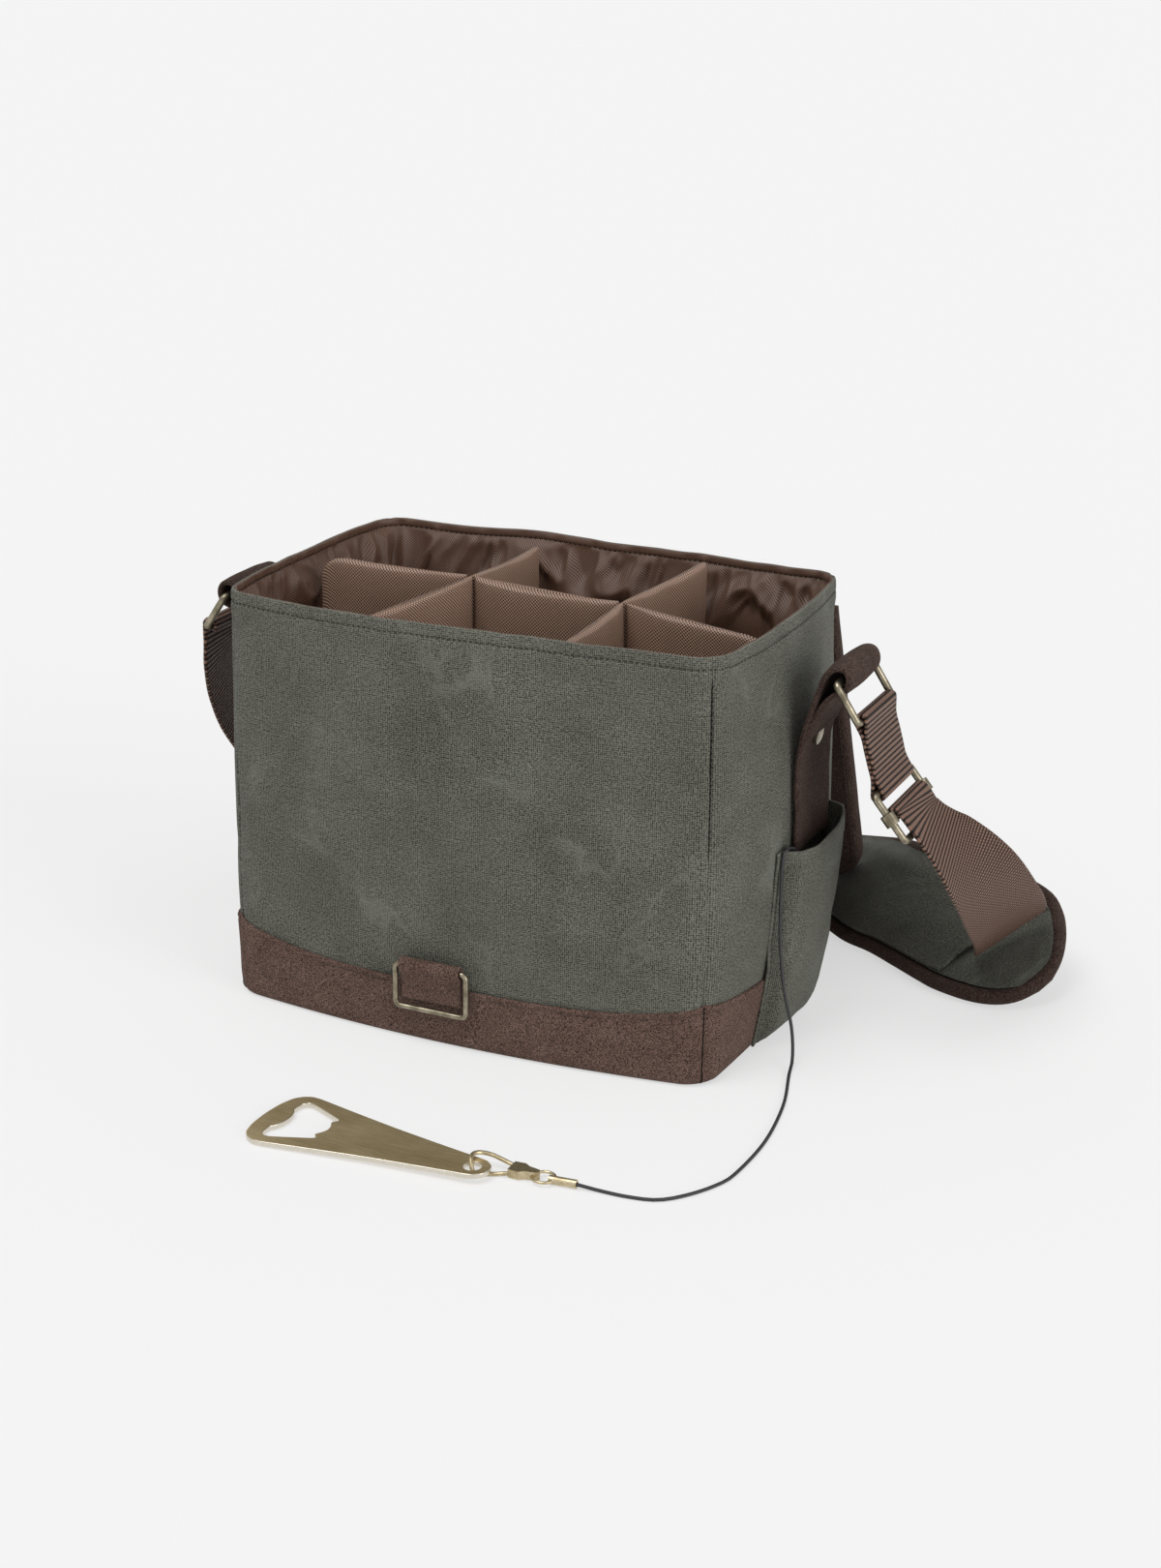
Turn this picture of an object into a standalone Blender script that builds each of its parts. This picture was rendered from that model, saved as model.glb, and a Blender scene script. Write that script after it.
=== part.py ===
"""Six-compartment insulated bottle bag with a hinged lid, shoulder strap, side pocket and tethered opener.

Origin: centre of the base on the floor. +X is the right side, -Y the front, +Z up. Lengths are in metres.
"""

import math

import bpy
import numpy as np
from mathutils import Matrix, Vector

MM = 0.001

# Bag body
BODY_WIDTH = 280 * MM
BODY_DEPTH = 180 * MM
BODY_HEIGHT = 230 * MM
CORNER_RADIUS = 14 * MM
FRONT_BOWS = [11.9 * MM, 12.0 * MM, 6.5 * MM]
BACK_BOWS = [8.0 * MM, 8.0 * MM, 9.7 * MM]
RIGHT_BOWS = [3.2 * MM, 18.0 * MM, 5.3 * MM]
LEFT_BOWS = [3.2 * MM, 18.0 * MM, 6.4 * MM]
LEVELS = [BODY_HEIGHT * n / 230 for n in (0, 12, 25, 38, 52, 75, 105, 140, 175, 205, 226, 230)]
EDGE_HEIGHTS = [h * MM for h in (0, 1.4, 3.0, 5.0)]
EDGE_INSETS = [i * MM for i in (4.0, 2.2, 0.8, 0.0)]
SIDE_FACETS = 6
FRONT_FACETS = 8
CORNER_FACETS = 4

# Wall layers, as distances out from the canvas face
GAP = 0.3 * MM
CANVAS = 1.4 * MM
FOAM = 5.0 * MM
LINING = 1.0 * MM
SUEDE = 1.4 * MM
BOARD = 2.0 * MM
LAYER_TOP = BODY_HEIGHT - 4 * MM
BOARD_INSET = 6 * MM

# Base trim, scooped at the middle of each side
TRIM_SIDE_MIDDLE = 34 * MM
TRIM_FRONT_MIDDLE = 38 * MM
TRIM_CORNER = 50 * MM
TRIM_CLEAR = 0.5 * MM

# Side pocket
POCKET_HALF_WIDTH = 38 * MM
POCKET_MOUTH = 118 * MM
POCKET_RISE_SHARE = 0.09
POCKET_HEM = 12 * MM
POCKET_HEM_STEP = 0.8 * MM
POCKET_SHEET = 1.3 * MM
POCKET_CLEAR = 0.4 * MM
POCKET_HEIGHTS = [h * MM for h in (3, 6, 12, 22, 38, 50, 60, 80, 100)]
POCKET_BULGES = [b * MM for b in (0, 5, 9.5, 11, 11.2, 11.6, 12.3, 13, 13.2, 13.4)]
POCKET_WIDTH_SHARES = (-1, -0.9, -0.86, -0.78, -0.58, -0.3, 0, 0.3, 0.58, 0.78, 0.86, 0.9, 1)
POCKET_FULLNESS_SHARES = (0, 0, 0.35, 0.72, 0.93, 1, 1, 1, 0.93, 0.72, 0.35, 0, 0)

# Anchor bands and strap tongues
BAND_HALF_WIDTH = 24.4 * MM
BAND_BOTTOM = 124 * MM
BAND_LIFT = 150 * MM
BAND_THICK = 2.6 * MM
BAND_CUT_FROM_RING = 14 * MM
BAND_UPPER = [(159.0, 151), (160.6, 163), (163.4, 177), (167.2, 191)]
TONGUE_OUTER = [(167.2, 191), (170.2, 201), (172.6, 209), (176.0, 214), (180.5, 215.6), (185.0, 213.6), (187.4, 208.6),
                (187.0, 202.6), (183.6, 198.0), (178.2, 196.4), (173.8, 190.8), (170.6, 184.0), (168.2, 176),
                (162.0, 163.9), (162.0, 178.6)]
TONGUE_EYE = [(177.0, 211.4), (180.5, 212.8), (183.4, 211.4), (184.8, 207.8), (184.4, 204.0), (182.0, 201.2),
              (178.8, 200.4), (176.2, 202.6), (175.2, 206.6)]
RIVET_RADIUS = 5.0 * MM
RIVET_HEAD = 1.4 * MM
RIVET_HEIGHT = 169 * MM

# Rings, slider and webbing
RING_HALF_WIDTH = 27 * MM
RING_WIRE = 2.0 * MM
RING_CORNER = 2.5 * MM
RING_TOP = (180.0, 0, 206.0)
RING_LOW = (192.6, 0, 187.0)
SLIDER_HALF_WIDTH = 28 * MM
SLIDER_TOP = (203.5, 0, 150.0)
SLIDER_LOW = (221.0, 0, 129.0)
COLLAR_RADIUS = 3.8 * MM
COLLAR_HALF_LENGTH = 3.2 * MM
BAR_CLEAR = 0.45 * MM
WEB_HALF_WIDTH = 24.0 * MM
WEB_THICK = 1.9 * MM
LINK_EYE_RADIUS = 2.4 * MM
MAIN_WEB_THICK = 2.4 * MM
RIGHT_WEB = [(236, 8, 112), (244.5, 30, 86), (247.8, 60, 59.5), (247, 84, 44.5), (246, 99, 35.8)]
RIGHT_WEB_WIDTHS = [(0.15, 0.97, 0.15), (0.35, 0.85, 0.3), (0.5, 0.72, 0.42), (0.62, 0.63, 0.46), (0.64, 0.61, 0.46)]
LEFT_WEB = [(-197.5, 4, 170), (-203, 22, 135), (-203, 62, 82), (-190, 105, 36), (-165, 137, 12), (-130, 158, 5.5),
            (-60, 178, 4.4), (-28, 185.4, 9.6), (-8, 187, 15.6), (9, 187, 16.1)]
LEFT_WEB_WIDTHS = [(0, 1, 0), (0.05, 1, 0.1), (-0.2, 0.9, 0.4), (-0.5, 0.8, 0.35), (-0.5, 0.85, 0.15), (-0.4, 0.9, 0.02),
                   (-0.2, 0.98, 0.04), (-0.1, 0.99, 0.08), (0, 0.99, 0.1), (0, 0.99, 0.1)]

# Shoulder pad, as pairs of points on its lower and upper edges
PAD_LOWER = [(-1.5, 151, 5), (5, 151, 5), (60, 154, 5), (107, 152, 5), (127, 138, 5), (144, 124, 5), (161, 116, 5),
             (180, 103, 5), (199, 89.5, 5), (211, 82, 5), (231, 75, 5.2), (246, 74.5, 6), (257, 77.6, 8.6), (266, 84, 13.4)]
PAD_UPPER = [(-1.5, 223, 12), (5, 223, 12), (85, 226, 20), (137, 210, 31), (160, 184, 42), (182, 158, 49.5),
             (209, 152, 49.5), (235, 147.5, 47), (254, 140.5, 43.2), (263.5, 130, 38.4), (268.5, 119, 33), (271, 109, 27.4),
             (271.4, 100, 22.4), (270, 90.5, 17.2)]
PAD_SHARES = (-1, -0.72, -0.36, 0, 0.36, 0.72, 1)
SLEEVE_SHARES = (-0.99, -0.94, -0.87, 0, 0.87, 0.94, 0.99)
SLEEVE_LIFTS = (0, 0, 1, 1, 1, 0, 0)
SLEEVE_STATIONS = 10
SLEEVE_LIFT = 3.2 * MM
PAD_FOAM = 7 * MM
PAD_SHEET = 1.2 * MM
PAD_EDGE = 5.6 * MM
PAD_FOAM_EDGE = 8.4 * MM
BINDING_RADIUS = 4.4 * MM

# Front tab and ring
FRONT_RING_X = -9 * MM
FRONT_RING_HALF_WIDTH = 20.9 * MM
FRONT_RING_WIRE = 1.5 * MM
FRONT_RING_TOP = 46 * MM
FRONT_RING_DROP = 24.5 * MM
FRONT_RING_CORNER = 3 * MM
TAB_HALF_WIDTH = 17.6 * MM
TAB_BACK = -104.9 * MM
TAB_BOTTOM = 26 * MM
TAB_SHEET = 1.7 * MM
TAB_EYE = 2.2 * MM

# Dividers
DIVIDER_THICK = 5 * MM
DIVIDER_BOTTOM = 12.4 * MM
LONG_DROPS = [(-132.5, 3.5), (-127, 2), (-38, 2), (26, 4), (50, 7), (128, 13.5), (132.5, 15)]
CROSS_HALF_LENGTH = 84 * MM
CROSS_TOP = BODY_HEIGHT - 6 * MM
CROSS_PLACES = [("divider_left", -51 * MM, -7.4), ("divider_right", 57 * MM, -4.0)]
SLOT_SPLIT = 120 * MM
SLOT_CLEAR = 0.4 * MM
DIVIDER_ROUND = 1.6 * MM

# Lid, described closed and turned open about its hinge
HINGE_Y = 106 * MM
HINGE_Z = BODY_HEIGHT + 1.5 * MM
LID_OPEN_DEGREES = 253
LID_REACH = 211 * MM
LID_HALF_FRONT = 139 * MM
LID_HALF_BACK = 133 * MM
LID_CORNER = 20 * MM
LID_START = 25 * MM
LID_UNDERSIDE = BODY_HEIGHT + 4 * MM
LID_EDGE = 1.5 * MM
LID_FOAM = 6 * MM
FLAP_THICK = 1.3 * MM
TAPE_BOTTOM = BODY_HEIGHT - 18 * MM
TAPE_BEND = BODY_HEIGHT - 6 * MM
TAPE_ENDS = [(-1.25, -1.9), (-2.55, -1.6)]
TAPE_HALF = 118 * MM

# Closure strap, stowed flat under the lid
CLOSURE_X = -15 * MM
CLOSURE_HALF_WIDTH = 19 * MM
CLOSURE_AXIS_Y = -103.2 * MM
CLOSURE_AXIS_Z = BODY_HEIGHT + 2 * MM
CLOSURE_LENGTH = 148 * MM
CLOSURE_THICK = 2.0 * MM
PATCH_THICK = 0.8 * MM
PATCH_HALF_WIDTH = 15 * MM
HOOK_SPAN = [96 * MM, 136 * MM]
LOOP_SPAN = [30 * MM, 84 * MM]

# Reel in the pocket
REEL_FROM_SIDE = (24.2, -4, 84)
REEL_RADIUS = 16 * MM
REEL_DEPTH = 6.4 * MM
REEL_WALL = 1.2 * MM
SPOOL_RADIUS = 12 * MM
SPOOL_BORE = 2.4 * MM

# Cord and its fittings
CORD_RADIUS = 0.9 * MM
CORD_ROUTE = [(164.2, -11.6, 97.2), (163.4, -17.5, 105), (161.6, -26, 113.5), (160.2, -31.8, 116.5), (159.2, -35.6, 115.6),
              (158.7, -36.7, 110), (158.5, -36.7, 92), (159.2, -36.8, 66), (162.4, -37.2, 40), (168, -38.4, 19),
              (171.6, -45, 5), (174.4, -57.5, 1.1), (184, -92, 1.1), (189.6, -132.9, 1.1), (188.5, -169.9, 1.1),
              (184.4, -184.7, 1.1), (175.6, -199.5, 1.1), (165, -209.9, 1.1), (151.5, -213.3, 1.1), (137, -214.1, 1.3),
              (124.6, -215.4, 2.6)]
CORD_STATIONS = 76
FERRULE_RADIUS = 2.2 * MM
FERRULE_START = (125.4, -215.3, 2.6)
FERRULE_END = (111.4, -216.6, 2.6)
FERRULE_BORE = 1.3 * MM
LINK_CENTRE = (108.2, -215.9, 2.6)
LINK_RADIUS = 5.6 * MM
LINK_WIRE = 0.8 * MM
CLASP_OUTLINE = [(91, -220.4), (96.6, -220.8), (99.4, -218.9), (105.2, -217.8), (106.2, -216), (105.2, -214.2),
                 (99.4, -213.1), (96.6, -211.2), (91, -211.6)]
CLASP_MIDDLE = 3.0 * MM
CLASP_THICK = 4.4 * MM
CLASP_WIRE = 1.1 * MM
CLASP_HOOK = [(90.6, -212.9, 3.6), (85, -212.7, 5.0), (79, -213.0, 6.6), (74.2, -214.8, 7.6), (71.9, -217.8, 8.0),
              (71.9, -221.0, 7.8), (73.0, -223.4, 7.0), (74.0, -224.9, 5.0), (75.0, -225.7, 3.2), (76.6, -225.4, 1.7),
              (79.4, -223.9, 1.35), (85, -221.0, 1.35), (90.6, -219.4, 2.2)]

# Opener plate
OPENER_HOLE = (74.9, -225.6)
OPENER_FAR = (-45.5, -217.0)
OPENER_THICK = 2.6 * MM
OPENER_LOW = 0.3 * MM
OPENER_TILT_DEGREES = 1.3
OPENER_HALF = [(-9.2, 0), (-8.2, 4.6), (-4.2, 8.0), (0, 9.0), (25, 12.4), (55, 17.0), (85, 22.6), (105, 26.6), (110.4, 26.8),
               (115, 24.6), (118.4, 20.4), (120.6, 12), (121.4, 0)]
OPENER_WINDOW_HALF = [(83.2, 0), (84.0, 3.4), (86.4, 7.4), (83.6, 10.2), (85.2, 11.6), (104.5, 19.6), (108, 19.8),
                      (110.4, 17.6), (111.0, 10.6), (109.0, 8.4), (107.6, 4.4), (107.2, 0)]
HOLE_RADIUS = 4.6 * MM

MATERIALS = {
    "canvas": ((0.085, 0.088, 0.072), 0.85, 0.0),
    "suede": ((0.055, 0.032, 0.024), 0.95, 0.0),
    "lining": ((0.11, 0.062, 0.045), 0.5, 0.0),
    "webbing": ((0.10, 0.058, 0.045), 0.8, 0.0),
    "foam": ((0.55, 0.54, 0.5), 0.9, 0.0),
    "board": ((0.08, 0.08, 0.08), 0.7, 0.0),
    "brass": ((0.32, 0.25, 0.14), 0.35, 1.0),
    "plastic": ((0.02, 0.02, 0.02), 0.4, 0.0),
    "cord": ((0.015, 0.015, 0.015), 0.7, 0.0),
    "patch": ((0.04, 0.03, 0.025), 0.95, 0.0),
}

for leftover in list(bpy.data.objects):
    bpy.data.objects.remove(leftover, do_unlink=True)

bag = bpy.data.collections.new("cooler_bag")
bpy.context.scene.collection.children.link(bag)
cutters = bpy.data.collections.new("cutters")
cutters.hide_render = True
bpy.context.scene.collection.children.link(cutters)


def material_of(name, slot):
    colour, roughness, metal = MATERIALS[slot]
    made = bpy.data.materials.new(name + "_" + slot)
    made.use_nodes = True
    shader = made.node_tree.nodes["Principled BSDF"]
    shader.inputs["Base Color"].default_value = (*colour, 1)
    shader.inputs["Roughness"].default_value = roughness
    shader.inputs["Metallic"].default_value = metal
    return made


def add_mesh(name, points, faces, slot, cutter=False):
    """One closed body from points in metres, its faces turned outward."""
    mesh = bpy.data.meshes.new(name)
    mesh.from_pydata([tuple(p) for p in points], [], faces)
    mesh.update()
    volume = 0.0
    mesh.calc_loop_triangles()
    for triangle in mesh.loop_triangles:
        a, b, c = (mesh.vertices[i].co for i in triangle.vertices)
        volume += a.dot(b.cross(c))
    if volume < 0:
        mesh.flip_normals()
    made = bpy.data.objects.new(name, mesh)
    if cutter:
        cutters.objects.link(made)
        made.hide_render = True
        made.display_type = "WIRE"
    else:
        bag.objects.link(made)
        mesh.materials.append(material_of(name, slot))
    return made


def loft(name, rings, slot, closed=False):
    """Skin over loops of equal count; capped at both ends, or joined last to first."""
    count = len(rings[0])
    points = np.concatenate(rings)
    faces = []
    last = len(rings) if closed else len(rings) - 1
    for i in range(last):
        j = (i + 1) % len(rings)
        for k in range(count):
            m = (k + 1) % count
            a, b, c, d = i * count + k, i * count + m, j * count + m, j * count + k
            rising = points[d][2] >= points[a][2]
            faces += [(a, b, c), (a, c, d)] if rising else [(a, b, d), (b, c, d)]
    if not closed:
        faces.append(tuple(reversed(range(count))))
        faces.append(tuple(range((len(rings) - 1) * count, len(rings) * count)))
    return add_mesh(name, points, faces, slot)


def flat_shape(name, loops, thickness, place, slot, rounding=0.0, cutter=False):
    """Flat outline with holes, given thickness about its plane, moved by a matrix."""
    curve = bpy.data.curves.new(name + "_outline", "CURVE")
    curve.dimensions = "2D"
    curve.fill_mode = "BOTH"
    curve.extrude = thickness / 2 - rounding
    curve.bevel_depth = rounding
    curve.bevel_resolution = 1
    curve.offset = -rounding
    for loop in loops:
        spline = curve.splines.new("POLY")
        spline.points.add(len(loop) - 1)
        for point, (x, y) in zip(spline.points, loop):
            point.co = (x, y, 0, 1)
        spline.use_cyclic_u = True
    return from_curve(name, curve, slot, place, cutter)


def from_curve(name, curve, slot, place=None, cutter=False):
    holder = bpy.data.objects.new(name + "_curve", curve)
    mesh = bpy.data.meshes.new_from_object(holder)
    bpy.data.objects.remove(holder)
    points = np.array([v.co for v in mesh.vertices])
    keys = {}
    index = []
    kept = []
    for point in points:
        key = tuple(np.round(point / (1e-3 * MM)).astype(int))
        if key not in keys:
            keys[key] = len(kept)
            kept.append(point)
        index.append(keys[key])
    faces = []
    for polygon in mesh.polygons:
        corners = [index[v] for v in polygon.vertices]
        corners = [c for i, c in enumerate(corners) if c != corners[i - 1]]
        if len(corners) > 2:
            faces.append(tuple(corners))
    bpy.data.meshes.remove(mesh)
    kept = np.array(kept)
    if place is not None:
        turn = np.array(place)
        kept = kept @ turn[:3, :3].T + turn[:3, 3]
    return add_mesh(name, kept, faces, slot, cutter)


def wire(name, route, radius, slot, cyclic=False, resolution=1, cutter=False):
    curve = bpy.data.curves.new(name + "_route", "CURVE")
    curve.dimensions = "3D"
    curve.bevel_depth = radius
    curve.bevel_resolution = resolution
    curve.use_fill_caps = True
    spline = curve.splines.new("POLY")
    spline.points.add(len(route) - 1)
    for point, where in zip(spline.points, route):
        point.co = (*where, 1)
    spline.use_cyclic_u = cyclic
    return from_curve(name, curve, slot, cutter=cutter)


def cylinder(name, start, end, radius, slot, sides=16, cutter=False):
    """Round bar between two points."""
    start, end = Vector(start), Vector(end)
    along = end - start
    turn = along.to_track_quat("Z", "Y").to_matrix().to_4x4()
    turn.translation = start
    rings = []
    for height in (0.0, along.length):
        ring = [(radius * math.cos(a), radius * math.sin(a), height) for a in angles(sides)]
        rings.extend(ring)
    points = [turn @ Vector(p) for p in rings]
    faces = [(k, (k + 1) % sides, sides + (k + 1) % sides, sides + k) for k in range(sides)]
    faces.append(tuple(reversed(range(sides))))
    faces.append(tuple(range(sides, 2 * sides)))
    return add_mesh(name, points, faces, slot, cutter)


def angles(count):
    return [2 * math.pi * k / count for k in range(count)]


def boolean(target, tool, operation):
    step = target.modifiers.new(tool.name, "BOOLEAN")
    step.operation = operation
    step.solver = "EXACT"
    step.object = tool


def smooth_route(points, count):
    """Evenly spaced points on a smooth curve through the given ones."""
    points = np.array(points, float)
    padded = np.vstack([2 * points[0] - points[1], points, 2 * points[-1] - points[-2]])
    fine = []
    for i in range(1, len(padded) - 2):
        a, b, c, d = padded[i - 1:i + 3]
        for t in np.linspace(0, 1, 24, endpoint=False):
            fine.append(0.5 * (2 * b + (c - a) * t + (2 * a - 5 * b + 4 * c - d) * t ** 2
                               + (3 * b - a - 3 * c + d) * t ** 3))
    fine.append(points[-1])
    fine = np.array(fine)
    run = np.concatenate([[0], np.cumsum(np.linalg.norm(np.diff(fine, axis=0), axis=1))])
    wanted = np.linspace(0, run[-1], count)
    return np.column_stack([np.interp(wanted, run, fine[:, k]) for k in range(fine.shape[1])])


def in_metres(points):
    return [tuple(v * MM for v in p) for p in points]


def unit(vector):
    return np.array(vector, float) / np.linalg.norm(vector)


def strip(name, route, widths, half_width, thickness, slot):
    """Flat band along a route, its width turning with the given directions."""
    route = np.array(route)
    steps = np.diff(route, axis=0)
    steps /= np.linalg.norm(steps, axis=1)[:, None]
    tangents = np.vstack([steps[:1], steps[:-1] + steps[1:], steps[-1:]])
    rings = []
    for centre, tangent, width in zip(route, tangents, widths):
        tangent = unit(tangent)
        across = unit(np.array(width) - np.dot(width, tangent) * tangent)
        normal = np.cross(tangent, across)
        rings.append(np.array([centre + a * half_width * across + b * thickness / 2 * normal
                               for a, b in ((-1, -1), (1, -1), (1, 1), (-1, 1))]))
    return loft(name, rings, slot)


def base_plan():
    """Rounded rectangle of the body, counter-clockwise from the front left."""
    half_x, half_y, radius = BODY_WIDTH / 2, BODY_DEPTH / 2, CORNER_RADIUS
    plan = []
    corners = [(half_x, -half_y, -90), (half_x, half_y, 0), (-half_x, half_y, 90), (-half_x, -half_y, 180)]
    facets = (FRONT_FACETS, SIDE_FACETS, FRONT_FACETS, SIDE_FACETS)
    for (x, y, start), after in zip(corners, facets[1:] + facets[:1]):
        centre = (x - math.copysign(radius, x), y - math.copysign(radius, y))
        for k in range(CORNER_FACETS + 1):
            angle = math.radians(start + 90 * k / CORNER_FACETS)
            plan.append((centre[0] + radius * math.cos(angle), centre[1] + radius * math.sin(angle)))
        end = plan[-1]
        reach = 2 * ((half_y if after == SIDE_FACETS else half_x) - radius)
        heading = (math.cos(math.radians(start + 180)), math.sin(math.radians(start + 180)))
        for k in range(1, after):
            plan.append((end[0] + heading[0] * reach * k / after, end[1] + heading[1] * reach * k / after))
    return np.array(plan)


BASE_PLAN = base_plan()


def bow_at(bows, height):
    """Outward bow of a wall at a height, straight between the levels."""
    base, middle, rim = bows
    shares = np.array(LEVELS) / BODY_HEIGHT
    values = rim * shares + base * (1 - shares) + 4 * (middle - (rim + base) / 2) * shares * (1 - shares)
    return float(np.interp(height, LEVELS, values))


def wall_ring(height, offset):
    """Closed loop on the wall at one height, moved outward by the offset."""
    half_x, half_y = BODY_WIDTH / 2, BODY_DEPTH / 2
    x, y = BASE_PLAN[:, 0], BASE_PLAN[:, 1]
    bow_x = np.where(x > 0, bow_at(RIGHT_BOWS, height), bow_at(LEFT_BOWS, height))
    bow_y = np.where(y > 0, bow_at(BACK_BOWS, height), bow_at(FRONT_BOWS, height))
    loop = np.column_stack([x + np.sign(x) * bow_x * (1 - (y / half_y) ** 2) * np.abs(x) / half_x,
                            y + np.sign(y) * bow_y * (1 - (x / half_x) ** 2) * np.abs(y) / half_y])
    before = loop - np.roll(loop, 1, axis=0)
    after = np.roll(loop, -1, axis=0) - loop
    before /= np.linalg.norm(before, axis=1)[:, None]
    after /= np.linalg.norm(after, axis=1)[:, None]
    first = np.column_stack([before[:, 1], -before[:, 0]])
    second = np.column_stack([after[:, 1], -after[:, 0]])
    bisector = first + second
    bisector /= (1 + np.sum(first * second, axis=1))[:, None]
    moved = loop + offset * bisector
    heights = np.full(len(loop), height) if np.isscalar(height) else height
    return np.column_stack([moved, heights])


def levels_between(low, high):
    return [level for level in LEVELS if low < level < high]


def cup(name, outer, inner, bottom, floor, top, slot):
    """Open box with a rounded bottom edge, one layer of the wall and floor."""
    rings = [wall_ring(bottom + rise, outer - inset) for rise, inset in zip(EDGE_HEIGHTS, EDGE_INSETS)]
    rings += [wall_ring(level, outer) for level in levels_between(bottom + EDGE_HEIGHTS[-1], top)]
    rings += [wall_ring(top, outer), wall_ring(top, inner)]
    rings += [wall_ring(level, inner) for level in reversed(levels_between(floor + EDGE_HEIGHTS[-1], top))]
    rings += [wall_ring(floor + rise, inner - inset)
              for rise, inset in reversed(list(zip(EDGE_HEIGHTS, EDGE_INSETS)))]
    return loft(name, rings, slot)


def wall_at(side, along, height, offset):
    """Point on the wall where a side meets the given sideways position."""
    loop = wall_ring(height, offset)
    axis, sign = {"right": (0, 1), "left": (0, -1), "front": (1, -1), "back": (1, 1)}[side]
    across = 1 - axis
    best = None
    for a, b in zip(loop, np.roll(loop, -1, axis=0)):
        low, high = sorted((a[across], b[across]))
        if low <= along <= high and high > low:
            share = (along - a[across]) / (b[across] - a[across])
            value = a[axis] + share * (b[axis] - a[axis])
            if value * sign > 0:
                best = value
    point = [0.0, 0.0, height]
    point[axis] = best
    point[across] = along
    return np.array(point)


def two_sided(name, outer, inner, slot):
    """Closed sheet between two grids of points of the same shape."""
    outer, inner = np.array(outer), np.array(inner)
    rows, columns = outer.shape[:2]
    points = np.concatenate([outer.reshape(-1, 3), inner.reshape(-1, 3)])
    back = rows * columns
    faces = []
    for i in range(rows - 1):
        for j in range(columns - 1):
            a, b = i * columns + j, i * columns + j + 1
            c, d = b + columns, a + columns
            faces += [(a, b, c), (a, c, d), (back + c, back + b, back + a), (back + d, back + c, back + a)]
    edge = ([j for j in range(columns)] + [i * columns + columns - 1 for i in range(1, rows)]
            + [(rows - 1) * columns + j for j in range(columns - 2, -1, -1)]
            + [i * columns for i in range(rows - 2, 0, -1)])
    for a, b in zip(edge, edge[1:] + edge[:1]):
        faces.append((b, a, back + a, back + b))
    return add_mesh(name, points, faces, slot)


# Body layers, from the floor up and from the outside in
trim_floor = SUEDE
canvas_bottom = trim_floor + GAP
canvas_floor = canvas_bottom + CANVAS
board_bottom = canvas_floor + GAP
foam_bottom = board_bottom + BOARD + GAP
foam_floor = foam_bottom + FOAM
lining_bottom = foam_floor + GAP
lining_floor = lining_bottom + LINING
foam_face = -(CANVAS + GAP)
lining_face = foam_face - FOAM - GAP
lining_inside = lining_face - LINING

cup("outer_shell", 0, -CANVAS, canvas_bottom, canvas_floor, BODY_HEIGHT, "canvas")
cup("foam_walls", foam_face, foam_face - FOAM, foam_bottom, foam_floor, LAYER_TOP, "foam")
cup("lining", lining_face, lining_inside, lining_bottom, lining_floor, LAYER_TOP, "lining")
loft("rim_facing", [wall_ring(LAYER_TOP + GAP, foam_face), wall_ring(BODY_HEIGHT - GAP, foam_face),
                    wall_ring(BODY_HEIGHT - GAP, lining_inside), wall_ring(LAYER_TOP + GAP, lining_inside)],
     "lining", closed=True)
loft("base_board", [wall_ring(board_bottom, -BOARD_INSET), wall_ring(board_bottom + BOARD, -BOARD_INSET)], "board")


def trim_ring(offset, share):
    """Loop part of the way up to the trim's top edge: low at the middle of each side, high at the corners."""
    low = LEVELS[2]
    points = []
    for k, (x, y) in enumerate(BASE_PLAN):
        across_share = min(abs(x) / (BODY_WIDTH / 2), 1)
        along_share = min(abs(y) / (BODY_DEPTH / 2), 1)
        front = TRIM_FRONT_MIDDLE + (TRIM_CORNER - TRIM_FRONT_MIDDLE) * across_share ** 4
        side = TRIM_SIDE_MIDDLE + (TRIM_CORNER - TRIM_SIDE_MIDDLE) * along_share ** 4
        top = front if along_share > across_share else side
        points.append(wall_ring(low + share * (top - low), offset)[k])
    return np.array(points)


trim_outer, trim_inner = TRIM_CLEAR + SUEDE, TRIM_CLEAR
rise_shares = (0.5, 1)
trim_outside = [wall_ring(rise, trim_outer - inset) for rise, inset in zip(EDGE_HEIGHTS, EDGE_INSETS)]
trim_outside += [wall_ring(level, trim_outer) for level in LEVELS[1:3]]
trim_outside += [trim_ring(trim_outer, share) for share in rise_shares]
trim_inside = [wall_ring(trim_floor + rise, trim_inner - inset) for rise, inset in zip(EDGE_HEIGHTS, EDGE_INSETS)]
trim_inside += [wall_ring(level, trim_inner) for level in LEVELS[1:3]]
trim_inside += [trim_ring(trim_inner, share) for share in rise_shares]
loft("base_trim", trim_outside + trim_inside[::-1], "suede")

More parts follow.
